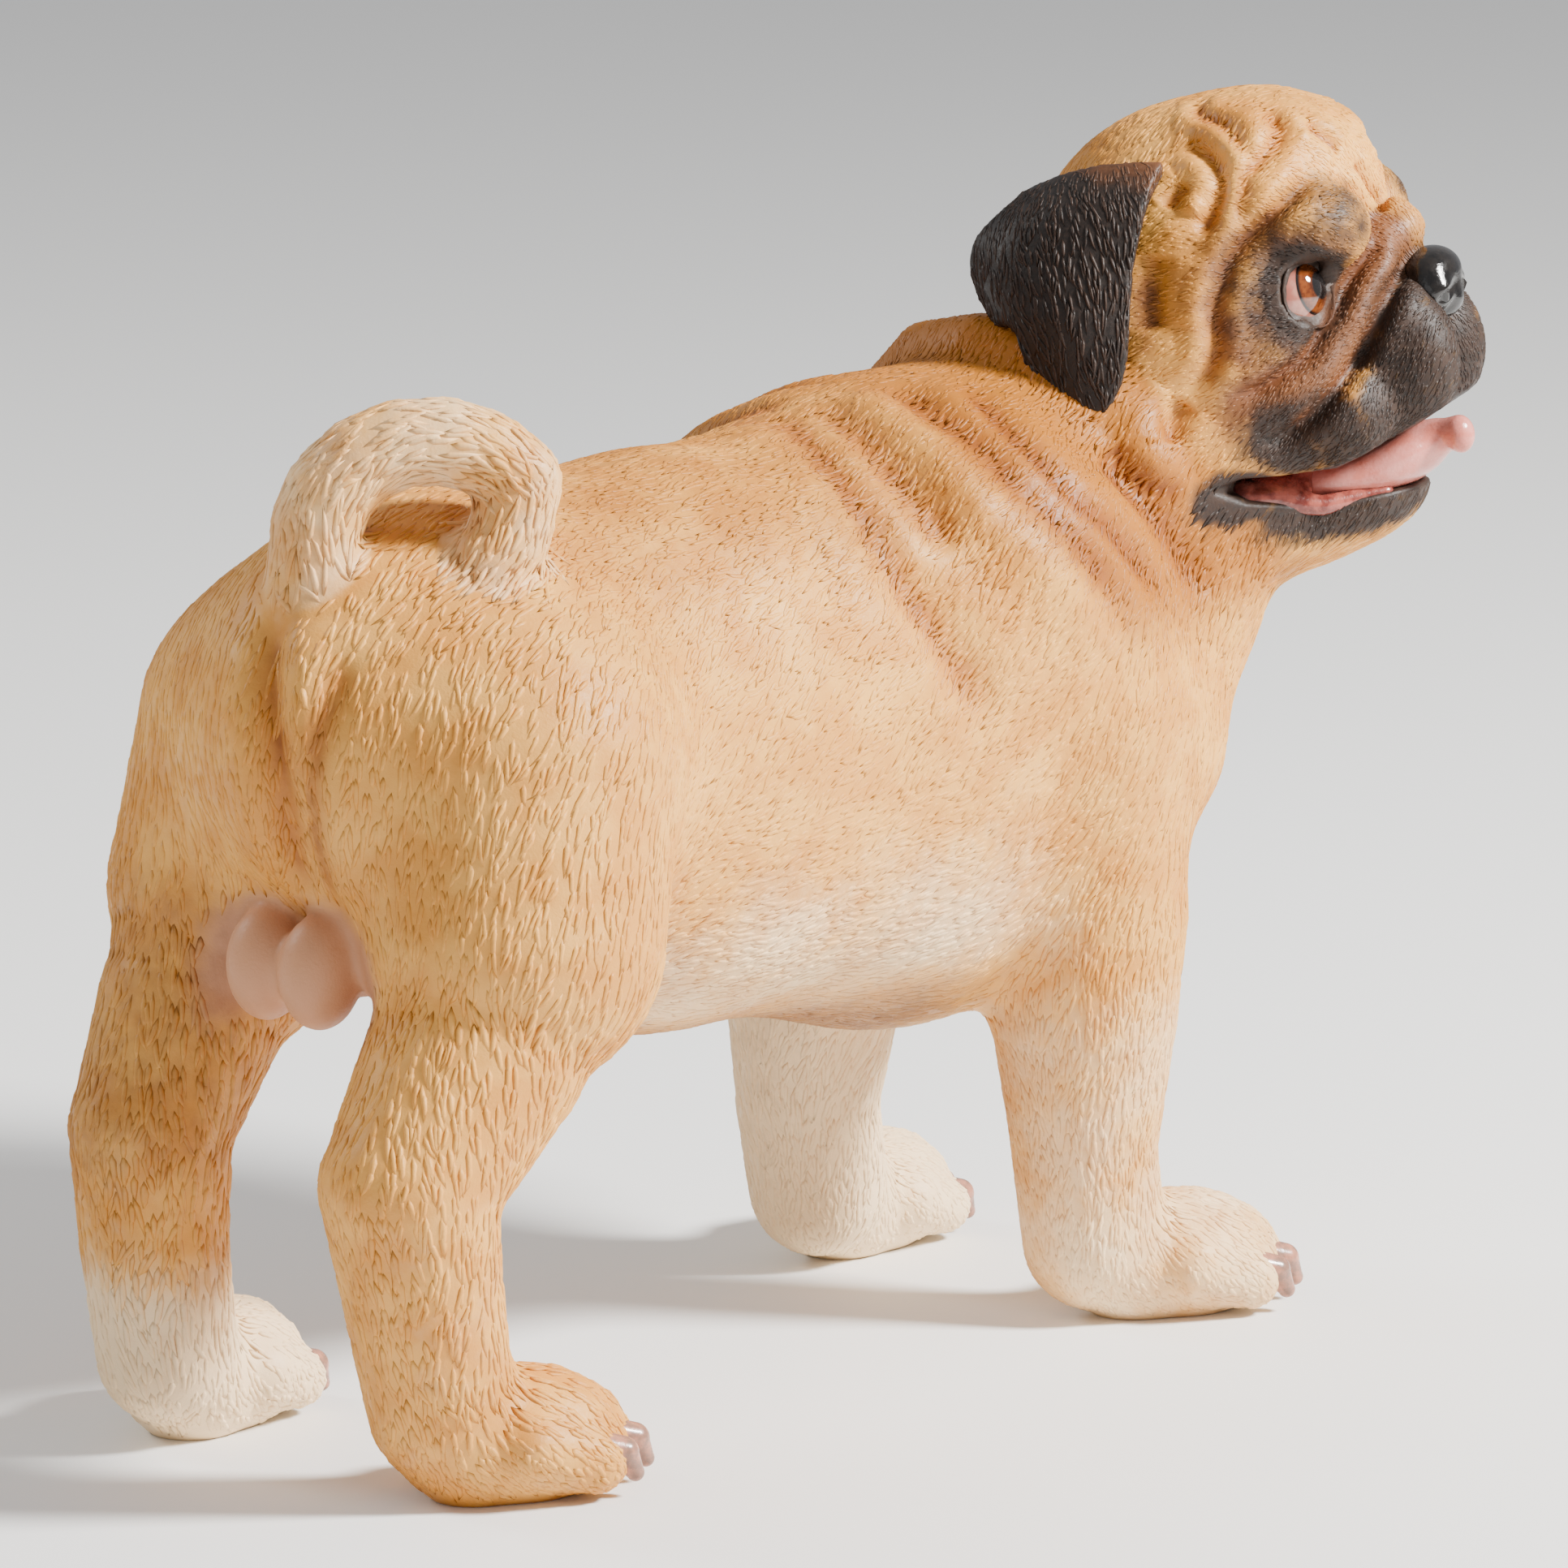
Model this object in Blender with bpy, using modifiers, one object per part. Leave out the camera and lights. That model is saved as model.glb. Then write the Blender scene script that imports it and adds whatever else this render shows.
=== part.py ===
"""A painted cast statue of a pug puppy, standing and looking over its right shoulder.

The flesh is a set of rounded muscles that blend into one smooth skin. The skin is parted
with thin flat cuts into the pieces that a person would name. Eyes, ears, nose, tongue and
claws are solids of their own, trimmed to the skin that they grow from.
Muscles are placed in millimetres: x is the body's forward, y its left, z up, with the
ground at z = 0 and x = y = 0 half way between the four paws.
"""
import math

import bmesh
import bpy
import numpy as np
from mathutils import Matrix, Vector

MM = 0.001

# Stance
WHEELBASE = 240.8
FORE_TRACK = 104.0
HIND_TRACK = 100.0
HALF_BASE = WHEELBASE / 2

# Trunk
BACK_TOP = 230.0
CHEST_FLOOR = 74.0
CHEST_HALF_WIDTH = 60.0
RUMP_BACK = -160.0

# Head: its centre, the way it looks, and the size of its organs
HEAD_CENTRE = (158.0, -32.0, 249.0)
HEAD_YAW = -65.0
HEAD_PITCH = 8.0
EYE_CENTRE = (24.0, 27.0, 3.5)
EYE_RADIUS = 10.5
MOUTH_CORNER = (9.0, -39.5)

# Ears, from the root on the skull to the tip, along the front and the rear edge
EAR_FRONT = ((0, 34, 39), (-3, 44, 31), (-7, 50, 17), (-9, 53.5, 4), (-11, 56, -8), (-15, 57.5, -16))
EAR_REAR = ((-36, 32, 35), (-49, 42, 25), (-51, 48, 15), (-45, 52.5, 7), (-37, 55, 5), (-34, 56, -6),
            (-29, 57, -15))
EAR_CROWN = 7.0
EAR_TIP = 3.5
EAR_THICKNESS = 4.4
EAR_COLUMNS = 11
EAR_ROWS = 14

# Legs and paws: each paw's heading, and each toe's place across and along the paw and its spread
LEGS = (("front", "front_left", 1), ("front", "front_right", -1), ("hind", "hind_left", 1),
        ("hind", "hind_right", -1))
PAW_HEADING = {"front_left": 8.0, "front_right": -25.0, "hind_left": 15.0, "hind_right": -23.0}
PAW_LENGTH = 53.0
PAW_WIDTH = 40.0
TOES = ((-15.0, 9.0, -10.0), (-5.2, 16.5, -3.0), (5.2, 16.5, 3.0), (15.0, 9.0, 10.0))
TOE_RADIUS = 7.6
CLAW_RADII = (4.4, 3.9, 2.2)

# Making: the gap between pieces, the mesh fineness of the flesh and the triangles it keeps,
# and how far the trimmed pieces stand off the skin
GAP = 0.3
PUFF = 0.38
VOXEL = 2.6
FLESH_FACES = 6000
CLAW_VOXEL = 0.8
CLAW_FACES = 50
ROUNDS = 3
RELAX = 0.4
SHARP_ANGLE = 60.0
LEAST_STEEPNESS = 0.25
SOLVER = "EXACT"

# The three organs that grow from the head and rump: voxel size and triangles
ORGANS = {"nose": (0.9, 300), "tongue": (1.2, 300), "tail": (2.0, 700)}

COLOURS = {
    "coat": ((0.62, 0.36, 0.15), 0.55),
    "pale_coat": ((0.78, 0.60, 0.38), 0.55),
    "mask": ((0.035, 0.028, 0.024), 0.5),
    "gloss_black": ((0.008, 0.007, 0.007), 0.12),
    "eye": ((0.05, 0.014, 0.006), 0.05),
    "tongue": ((0.62, 0.20, 0.17), 0.25),
    "claw": ((0.52, 0.26, 0.20), 0.25),
}


def rotation(yaw, pitch=0.0, roll=0.0):
    """Axes as columns: forward, left and up, turned left by yaw, up by pitch, over by roll."""
    turn = Matrix.Rotation(math.radians(yaw), 3, "Z")
    turn @= Matrix.Rotation(math.radians(-pitch), 3, "Y")
    turn @= Matrix.Rotation(math.radians(roll), 3, "X")
    return np.array(turn)


class Place:
    """A local frame: where it stands and how it is turned."""

    def __init__(self, origin=(0, 0, 0), yaw=0.0, pitch=0.0, roll=0.0):
        self.origin = np.array(origin, float)
        self.axes = rotation(yaw, pitch, roll)

    def point(self, local):
        return self.origin + self.axes @ np.array(local, float)


BODY = Place()
HEAD = Place(HEAD_CENTRE, HEAD_YAW, HEAD_PITCH)


def smooth_min(a, b, blend):
    """The lesser of two distances, rounded over the width of blend."""
    mix = np.clip(0.5 + 0.5 * (b - a) / blend, 0.0, 1.0)
    return b + (a - b) * mix - blend * mix * (1.0 - mix)


class Flesh:
    """Rounded muscles and the hollows pressed in them, blended into one surface."""

    def __init__(self):
        self.forms = []

    def ball(self, place, centre, radii, blend=8.0, turn=(0, 0, 0), hollow=False):
        """An ellipsoid with the given half sizes."""
        axes = place.axes @ rotation(*turn)
        self.forms.append(("ball", place.point(centre), np.array(radii, float), axes, blend, hollow))

    def bar(self, place, start, start_radius, end, end_radius, blend=8.0, hollow=False):
        """A tapered bar with round ends."""
        self.chain(place, [start, end], [start_radius, end_radius], blend, hollow)

    def chain(self, place, points, radii, blend=4.0, hollow=False):
        """One bent bar through the points, with a radius at each."""
        where = [place.point(point) for point in points]
        self.forms.append(("chain", where, np.array(radii, float), None, blend, hollow))

    def depth(self, points):
        """Distance from the blended surface, below zero inside."""
        total = np.full(len(points), 1e3)
        for kind, where, size, axes, blend, hollow in self.forms:
            if kind == "ball":
                local = (points - where) @ axes
                near = np.linalg.norm(local / size, axis=1)
                slope = np.linalg.norm(local / size ** 2, axis=1) + 1e-9
                away = near * (near - 1.0) / slope
            else:
                away = np.full(len(points), 1e3)
                for i in range(len(where) - 1):
                    along = where[i + 1] - where[i]
                    reach = np.clip((points - where[i]) @ along / (along @ along), 0.0, 1.0)
                    radius = size[i] + (size[i + 1] - size[i]) * reach
                    nearest = where[i] + reach[:, None] * along
                    away = np.minimum(away, np.linalg.norm(points - nearest, axis=1) - radius)
            if hollow:
                total = -smooth_min(-total, away, blend)
            else:
                total = smooth_min(total, away, blend)
        return total

    def slope(self, points, step=0.05):
        """Outward direction of the surface at each point."""
        out = np.zeros_like(points)
        for corner in ((1, 1, 1), (1, -1, -1), (-1, 1, -1), (-1, -1, 1)):
            shift = np.array(corner, float)
            out += shift * self.depth(points + shift * step)[:, None]
        return out / (4 * step)


def torso_forms(flesh):
    """Barrel chest, back, belly and rump."""
    chest_mid = (CHEST_FLOOR + 226) / 2
    flesh.ball(BODY, (66, 0, chest_mid), (82, CHEST_HALF_WIDTH, chest_mid - CHEST_FLOOR), 10)
    flesh.ball(BODY, (64, -2, 176), (64, 55, 62), 20)
    flesh.ball(BODY, (-18, 0, 158.5), (92, 58, BACK_TOP - 158.5), 24)
    flesh.ball(BODY, (-94, 0, 175), (abs(RUMP_BACK + 94), 54, BACK_TOP - 174), 24)
    flesh.ball(BODY, (118, -2, 136), (28, 38, 40), 20)
    for side in (-1, 1):
        flesh.bar(BODY, (66, side * 33, 194), 32, (112, side * 36, 146), 29, 18)


def neck_forms(flesh):
    """Thick neck that turns to the right, with the rolls of loose skin over it."""
    flesh.bar(BODY, (86, -2, 184), 45.5, (146, -20, 229), 39.5, 16)
    flesh.ball(BODY, (134, -30, 180), (27, 31, 30), 18)
    flesh.ball(HEAD, (6, -3, -55), (25, 28, 15), 12)
    for x, z, reach, size in ((70, 191, 44, 6.5), (97, 206, 44, 8.5)):
        points = []
        for step in range(9):
            angle = math.radians(-112 + 28 * step)
            points.append((x + 14 * abs(math.sin(angle)) ** 1.5, -5 + reach * math.sin(angle),
                           z + (reach - 8) * math.cos(angle)))
        flesh.chain(BODY, points, [size] * len(points), 7)


def tail_points():
    """Centre line of the tail: up from the rump, over in a curl and down on its right side."""
    points = [(-134, 0, 188), (-136, -1, 206)]
    for step in range(10):
        turn = math.radians(176 - 24 * step)
        reach = 23.5 - 0.12 * step ** 2 * (step > 6)
        forward = reach * math.cos(turn)
        points.append((-116.5 + 0.82 * forward, -15 - 0.57 * forward - 1.1 * step,
                       225 + 0.88 * reach * math.sin(turn)))
    return points


def tail_forms(flesh):
    """Tight curl of even thickness with a blunt end."""
    points = tail_points()
    radii = [15.0, 12.5] + [10.8 - 0.12 * step for step in range(len(points) - 2)]
    flesh.chain(BODY, points, radii, 3)


def leg_points(end, side):
    """Joints of one leg, from the body down to the wrist or ankle, with their radii."""
    if end == "front":
        back = 0 if side < 0 else 6
        points = [(90, side * 40, 150), (95 - back, side * 42, 104), (95 - back, side * 42, 78),
                  (95.5 - back, side * (42 + back / 2), 44), (98 - back / 2, side * (43 + back / 2), 20)]
        return points, [30, 26, 23.5, 18.5, 18]
    if side > 0:
        points = [(-104, 33, 168), (-114, 41, 132), (-133, 43, 106), (-148, 43, 78), (-147.5, 43, 52),
                  (-143.5, 43, 22)]
        return points, [41, 35.5, 23, 19.5, 18, 17]
    points = [(-104, -33, 168), (-113, -42, 130), (-126, -43, 106), (-149.5, -42.5, 77), (-145, -42.5, 52),
              (-138.5, -42.5, 22)]
    return points, [41, 36, 26, 21, 19, 17.5]


def leg_forms(flesh, end, side):
    """Upper and lower leg as one bent taper."""
    points, radii = leg_points(end, side)
    flesh.chain(BODY, points, radii, 14 if end == "hind" else 10)
    if end == "hind":
        flesh.ball(BODY, (-104, side * 43, 131), (21, 19, 26), 12)
        flesh.ball(BODY, (-155, side * 43, 77), (11, 10, 12), 8)


def paw_place(end, name, side):
    """Frame of a paw: under the middle of its sole, looking along its toes."""
    reach = HALF_BASE if end == "front" else -HALF_BASE
    track = FORE_TRACK if end == "front" else HIND_TRACK
    return Place((reach, side * track / 2, 0), PAW_HEADING[name])


def paw_forms(flesh, place):
    """Round paw on a flat sole, with four toes."""
    flesh.ball(place, (0, 0, 13.5), (PAW_LENGTH / 2, PAW_WIDTH / 2, 17), 6)
    flesh.ball(place, (-14.5, 0, 13), (12, 15, 15.5), 6)
    for across, forward, _ in TOES:
        flesh.bar(place, (forward - 12, across, 14), TOE_RADIUS + 1, (forward + 4, across, 9.0), TOE_RADIUS, 3.2)


def head_forms(flesh):
    """Domed skull, cheeks, short muzzle, lower jaw and throat, with the main folds."""
    flesh.ball(HEAD, (-1, 0, 11), (42, 43, 41.5), 12)
    flesh.ball(HEAD, (-15, 0, 3), (31, 41, 37), 12)
    flesh.ball(HEAD, (17.5, 0, 25), (26, 34, 27.5), 10)
    flesh.ball(HEAD, (0, 0, -32), (36, 36, 28), 16)
    flesh.ball(HEAD, (30, 0, -10), (24, 25, 26), 12)
    flesh.ball(HEAD, (29, 0, -46), (20, 22, 14), 8)
    flesh.ball(HEAD, (22, 0, -52), (22, 20, 12), 8)
    for side in (-1, 1):
        flesh.ball(HEAD, (4, side * 27, -10), (30, 20, 30), 12)
        flesh.ball(HEAD, (-4, side * 26, -34), (26, 18, 18), 12)
        flesh.ball(HEAD, (31.5, side * 22, 19), (14, 14, 10.5), 6, (side * 25, -15, 0))
        flesh.ball(HEAD, (46, side * 12, -17), (18, 13, 20), 6, (side * 15, 0, 0))
        flesh.ball(HEAD, (28, side * 22, -30), (20, 13, 14), 8, (side * 25, 8, 0))
        flesh.chain(HEAD, [(49, 0, 14), (44, side * 12, 9), (37, side * 23, -5), (24, side * 33, -20)],
                    [5.5, 5.5, 6.0, 7.0], 4)
    flesh.ball(HEAD, (51, 0, 0), (8, 10, 9), 4)


def nose_forms(flesh):
    """Broad nose pad with two nostrils."""
    flesh.ball(HEAD, (56, 0, 2), (7, 10.5, 7.5), 3)
    flesh.ball(HEAD, (57.5, 0, -3.5), (5.5, 8, 5), 3)
    for side in (-1, 1):
        flesh.bar(HEAD, (64, side * 5, -1), 1.7, (60, side * 9.5, -3.5), 1.3, 1.2, hollow=True)


def tongue_forms(flesh):
    """Flat tongue over the lower jaw with its tip curled up."""
    flesh.ball(HEAD, (30, 0, -46), (22, 18, 7.5), 4, (0, 8, 0))
    flesh.ball(HEAD, (44, 0, -42.5), (15, 15, 6.5), 5, (0, 16, 0))
    flesh.bar(HEAD, (51, -2, -40), 5.4, (57.5, -3, -38), 4.4, 4)


def new_object(name, mesh, collection):
    thing = bpy.data.objects.new(name, mesh)
    collection.objects.link(thing)
    return thing


def cutter_object(name, mesh, cutters):
    thing = new_object(name, mesh, cutters)
    thing.hide_render = True
    thing.display_type = "WIRE"
    return thing


def bake(thing):
    """Replace the object's mesh by the one its modifiers make."""
    bpy.context.view_layer.update()
    graph = bpy.context.evaluated_depsgraph_get()
    mesh = bpy.data.meshes.new_from_object(thing.evaluated_get(graph))
    thing.modifiers.clear()
    old = thing.data
    thing.data = mesh
    bpy.data.meshes.remove(old)


def rough_mesh(flesh):
    """Spheres and tapered hulls of every muscle in one mesh, in metres."""
    mesh = bmesh.new()
    for kind, where, size, axes, _, hollow in flesh.forms:
        if hollow:
            continue
        if kind == "ball":
            shape = Matrix.Translation(Vector(where)) @ Matrix(axes).to_4x4() @ Matrix.Diagonal((*size, 1.0))
            bmesh.ops.create_icosphere(mesh, subdivisions=3, radius=1.0, matrix=shape)
            continue
        for centre, radius in zip(where, size):
            bmesh.ops.create_icosphere(mesh, subdivisions=3, radius=radius,
                                       matrix=Matrix.Translation(Vector(centre)))
        for i in range(len(where) - 1):
            along = Vector(where[i + 1] - where[i])
            turn = along.to_track_quat("Z", "Y").to_matrix().to_4x4()
            centre = Vector((where[i] + where[i + 1]) / 2)
            bmesh.ops.create_cone(mesh, cap_ends=True, segments=24, radius1=size[i], radius2=size[i + 1],
                                  depth=along.length, matrix=Matrix.Translation(centre) @ turn)
    bmesh.ops.scale(mesh, vec=(MM, MM, MM), verts=mesh.verts)
    data = bpy.data.meshes.new("rough")
    mesh.to_mesh(data)
    mesh.free()
    return data


def relax(points, edges, share):
    """Move each point part of the way to the mean of its neighbours."""
    ends = np.concatenate([edges[:, 0], edges[:, 1]])
    others = np.concatenate([edges[:, 1], edges[:, 0]])
    count = np.bincount(ends, minlength=len(points))
    total = [np.bincount(ends, weights=points[others, axis], minlength=len(points)) for axis in range(3)]
    return points + share * (np.stack(total, 1) / count[:, None] - points)


def settle(flesh, points, reach):
    """Move each point onto the blended surface, by no more than reach."""
    slope = flesh.slope(points)
    steep = np.maximum((slope ** 2).sum(1), LEAST_STEEPNESS)
    step = np.clip(flesh.depth(points) / steep, -reach, reach)
    return points - slope * step[:, None]


def solid(name, flesh, voxel, faces, collection):
    """One closed mesh on the blended surface, thinned to about so many triangles."""
    thing = new_object(name, rough_mesh(flesh), collection)
    remesh = thing.modifiers.new("skin", "REMESH")
    remesh.mode = "VOXEL"
    remesh.voxel_size = voxel * MM
    bake(thing)
    mesh = thing.data
    points = np.empty(len(mesh.vertices) * 3)
    mesh.vertices.foreach_get("co", points)
    points = points.reshape(-1, 3) / MM
    edges = np.empty(len(mesh.edges) * 2, dtype=np.int64)
    mesh.edges.foreach_get("vertices", edges)
    edges = edges.reshape(-1, 2)
    for _ in range(ROUNDS):
        points = relax(settle(flesh, points, voxel), edges, RELAX)
    points = settle(flesh, points, voxel)
    mesh.vertices.foreach_set("co", (points * MM).ravel())
    mesh.update()
    thin = thing.modifiers.new("thin", "DECIMATE")
    thin.ratio = min(1.0, faces / (2.0 * len(mesh.polygons)))
    thin.use_collapse_triangulate = True
    bake(thing)
    return thing


def subtract(thing, cutter):
    cut = thing.modifiers.new("cut", "BOOLEAN")
    cut.operation = "DIFFERENCE"
    cut.solver = SOLVER
    cut.object = cutter
    bake(thing)


def slab(name, place, centre, turn, half_width, half_height, cutters):
    """A thin flat cutter, square to its own first axis, as thick as the gap between pieces."""
    mesh = bmesh.new()
    axes = place.axes @ rotation(*turn)
    shape = Matrix.Translation(Vector(place.point(centre) * MM)) @ Matrix(axes).to_4x4()
    size = Matrix.Diagonal((GAP * MM, 2 * half_width * MM, 2 * half_height * MM, 1.0))
    bmesh.ops.create_cube(mesh, size=1.0, matrix=shape @ size)
    data = bpy.data.meshes.new(name)
    mesh.to_mesh(data)
    mesh.free()
    return cutter_object(name, data, cutters)


def puffed(thing, name, cutters):
    """A copy pushed outward by a little over the gap, to trim what sits on it."""
    data = thing.data.copy()
    normals = np.empty(len(data.vertices) * 3)
    data.vertices.foreach_get("normal", normals)
    points = np.empty(len(data.vertices) * 3)
    data.vertices.foreach_get("co", points)
    data.vertices.foreach_set("co", points + normals * PUFF * MM)
    data.update()
    return cutter_object(name, data, cutters)


def islands(thing):
    """Each closed surface of the object as a mesh of its own, largest first."""
    mesh = bmesh.new()
    mesh.from_mesh(thing.data)
    groups = []
    seen = set()
    for start in mesh.verts:
        if start in seen:
            continue
        group = {start}
        front = [start]
        while front:
            vert = front.pop()
            for edge in vert.link_edges:
                other = edge.other_vert(vert)
                if other not in group:
                    group.add(other)
                    front.append(other)
        seen |= group
        groups.append(group)
    groups.sort(key=len, reverse=True)
    pieces = []
    for group in groups:
        copy = bmesh.new()
        twin = {vert: copy.verts.new(vert.co) for vert in group}
        for face in mesh.faces:
            if face.verts[0] in group:
                copy.faces.new([twin[vert] for vert in face.verts])
        data = bpy.data.meshes.new("piece")
        copy.to_mesh(data)
        copy.free()
        pieces.append(data)
    mesh.free()
    return pieces


def middle(data):
    points = np.empty(len(data.vertices) * 3)
    data.vertices.foreach_get("co", points)
    points = points.reshape(-1, 3) / MM
    return (points.min(0) + points.max(0)) / 2


def keep_largest(thing):
    """Drop loose scraps left by a trim."""
    pieces = islands(thing)
    old = thing.data
    thing.data = pieces[0]
    bpy.data.meshes.remove(old)
    for scrap in pieces[1:]:
        bpy.data.meshes.remove(scrap)


def curve(points, t):
    """A point at share t along a smooth curve that passes through the given points."""
    place = t * (len(points) - 1)
    i = min(int(place), len(points) - 2)
    t = place - i
    knots = [np.array(points[max(0, min(len(points) - 1, k))], float) for k in range(i - 1, i + 3)]
    a, b, c, d = knots
    return 0.5 * (2 * b + (c - a) * t + (2 * a - 5 * b + 4 * c - d) * t ** 2
                  + (3 * b - a - 3 * c + d) * t ** 3)


def ear_mesh(side):
    """A folded flap: a curved sheet from its root on the skull to its tip."""
    mesh = bmesh.new()
    grid = []
    for i in range(EAR_ROWS + 1):
        t = i / EAR_ROWS
        front = curve(EAR_FRONT, t)
        rear = curve(EAR_REAR, t)
        row = []
        for j in range(EAR_COLUMNS + 1):
            s = j / EAR_COLUMNS
            crown = EAR_CROWN * math.sin(math.pi * s) * math.sin(math.pi * min(1.0, 0.2 + 0.8 * t)) ** 0.6
            point = front * (1 - s) + rear * s + np.array([0, 0.6, 0.5]) * crown
            point[2] -= EAR_TIP * t ** 3 * math.sin(math.pi * s)
            point[1] *= side
            row.append(mesh.verts.new(Vector(HEAD.point(point) * MM)))
        grid.append(row)
    for i in range(EAR_ROWS):
        for j in range(EAR_COLUMNS):
            corners = [grid[i][j], grid[i][j + 1], grid[i + 1][j + 1], grid[i + 1][j]]
            mesh.faces.new(corners if side > 0 else corners[::-1])
    data = bpy.data.meshes.new("ear")
    mesh.to_mesh(data)
    mesh.free()
    return data


def ear(name, side, collection):
    thing = new_object(name, ear_mesh(side), collection)
    thick = thing.modifiers.new("thick", "SOLIDIFY")
    thick.thickness = EAR_THICKNESS * MM
    thick.offset = 0.0
    thick.use_even_offset = True
    soft = thing.modifiers.new("soft", "SMOOTH")
    soft.iterations = 2
    even = thing.modifiers.new("triangles", "TRIANGULATE")
    even.quad_method = "FIXED"
    bake(thing)
    return thing


def eye(name, side, radius, collection):
    """A ball set in the face, or the socket for it when the radius is larger."""
    mesh = bmesh.new()
    centre = HEAD.point((EYE_CENTRE[0], side * EYE_CENTRE[1], EYE_CENTRE[2]))
    bmesh.ops.create_uvsphere(mesh, u_segments=16, v_segments=9, radius=radius * MM,
                              matrix=Matrix.Translation(Vector(centre * MM)) @ Matrix(HEAD.axes).to_4x4()
                              @ Matrix.Rotation(math.radians(90), 4, "Y"))
    data = bpy.data.meshes.new(name)
    mesh.to_mesh(data)
    mesh.free()
    return new_object(name, data, collection)


def claw(name, place, toe, collection):
    """A short blunt hook set in the front of a toe."""
    across, forward, spread = toe
    flesh = Flesh()
    turn = math.radians(spread)
    ahead = np.array([math.cos(turn), math.sin(turn), 0.0])
    root = np.array([forward + 4, across, 12.5])
    bend = root + ahead * 6.5 + (0, 0, -1.5)
    tip = root + ahead * 9.5 + (0, 0, -6.5)
    flesh.chain(place, [root, bend, tip], CLAW_RADII, 2)
    return solid(name, flesh, CLAW_VOXEL, CLAW_FACES, collection)


def mouth_cutter(cutters):
    """The open mouth: a wedge between the upper lip and the lower jaw, right through the head."""
    corner_x, corner_z = MOUTH_CORNER
    upper = [(corner_x, corner_z), (20, -42), (32, -41.5), (45, -37), (56, -31.5), (80, -24)]
    lower = [(80, -42), (56, -46.5), (46, -49), (32, -49.5), (20, -46.5)]
    outline = upper + lower
    mesh = bmesh.new()
    rings = []
    for across in (-60, 60):
        rings.append([mesh.verts.new(Vector(HEAD.point((x, across, z)) * MM)) for x, z in outline])
    count = len(outline)
    for i in range(count):
        j = (i + 1) % count
        mesh.faces.new((rings[0][i], rings[0][j], rings[1][j], rings[1][i]))
    mesh.faces.new(rings[0][::-1])
    mesh.faces.new(rings[1])
    bmesh.ops.recalc_face_normals(mesh, faces=mesh.faces)
    data = bpy.data.meshes.new("mouth")
    mesh.to_mesh(data)
    mesh.free()
    return cutter_object("mouth", data, cutters)


def floor_cutter(cutters):
    """All that lies below the ground."""
    mesh = bmesh.new()
    bmesh.ops.create_cube(mesh, size=1.0, matrix=Matrix.Translation((0, 0, -0.05))
                          @ Matrix.Diagonal((0.6, 0.4, 0.1, 1)))
    data = bpy.data.meshes.new("ground")
    mesh.to_mesh(data)
    mesh.free()
    return cutter_object("ground", data, cutters)


def materials():
    made = {}
    for name, (colour, rough) in COLOURS.items():
        material = bpy.data.materials.new(name)
        material.use_nodes = True
        shader = material.node_tree.nodes["Principled BSDF"]
        shader.inputs["Base Color"].default_value = (*colour, 1.0)
        shader.inputs["Roughness"].default_value = rough
        shader.inputs["Metallic"].default_value = 0.0
        material.diffuse_color = (*colour, 1.0)
        made[name] = material
    return made


def build_flesh():
    """Every muscle of the body, head, legs, paws and tail."""
    flesh = Flesh()
    torso_forms(flesh)
    neck_forms(flesh)
    head_forms(flesh)
    for end, name, side in LEGS:
        leg_forms(flesh, end, side)
        paw_forms(flesh, paw_place(end, name, side))
    for side in (-1, 1):
        flesh.ball(BODY, (-146, side * 10, 124), (12, 11, 15), 6)
    return flesh


def cut_slabs(cutters):
    """Thin cuts that part the flesh where a person would name its pieces."""
    slabs = [
        slab("cut_neck", BODY, (102, -8, 192), (-20, 40, 0), 80, 76, cutters),
        slab("cut_head", BODY, (134, -22, 226), (-25, 39, 0), 74, 74, cutters),
        slab("cut_jaw", HEAD, (21.5, 0, -62.7), (0, 19.3, 0), 45, 22.5, cutters),
    ]
    for end, name, side in LEGS:
        if end == "front":
            cut = slab("cut_" + name, BODY, (93, side * 46, 95.5), (side * 90, -48, 0), 47, 46, cutters)
        else:
            cut = slab("cut_" + name, BODY, (-112, side * 46, 135), (side * 101, -36.5, 0), 74, 64, cutters)
        slabs.append(cut)
        slabs.append(slab("cut_paw_" + name, paw_place(end, name, side), (-21, 0, 29), (0, -50, 0), 30, 29,
                          cutters))
    return slabs


def anchors():
    """Where the middle of each piece of flesh lies, to know it by after the cuts."""
    found = {
        "torso": (0, 0, 150),
        "neck": (110, -12, 205),
        "head": (165, -38, 258),
        "lower_jaw": tuple(HEAD.point((38, 0, -55))),
    }
    for end, name, side in LEGS:
        limb = {"front": "foreleg_", "hind": "hindleg_"}[end] + name.split("_")[1]
        paw = {"front": "forepaw_", "hind": "hindpaw_"}[end] + name.split("_")[1]
        found[limb] = (96, side * 43, 70) if end == "front" else (-128, side * 43, 90)
        found[paw] = (118, side * 52, 14) if end == "front" else (-122, side * 50, 14)
    return found


def part_flesh(body, parts, cutters):
    """Cut the flesh with every slab and give each piece its name."""
    for cut in cut_slabs(cutters):
        subtract(body, cut)
    named = {}
    places = anchors()
    for data in islands(body)[:len(places)]:
        centre = middle(data)
        name = min(places, key=lambda key: np.linalg.norm(centre - places[key]))
        named[name] = data
        places.pop(name)
    for name, data in named.items():
        new_object(name, data, parts)
    bpy.data.objects.remove(body)


def material_name(node):
    if node.startswith("ear"):
        return "mask"
    if node.startswith("claw"):
        return "claw"
    if node in ("torso", "head", "neck"):
        return "coat"
    return {"lower_jaw": "mask", "nose": "gloss_black", "tongue": "tongue", "eye_left": "eye",
            "eye_right": "eye"}.get(node, "pale_coat")


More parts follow.
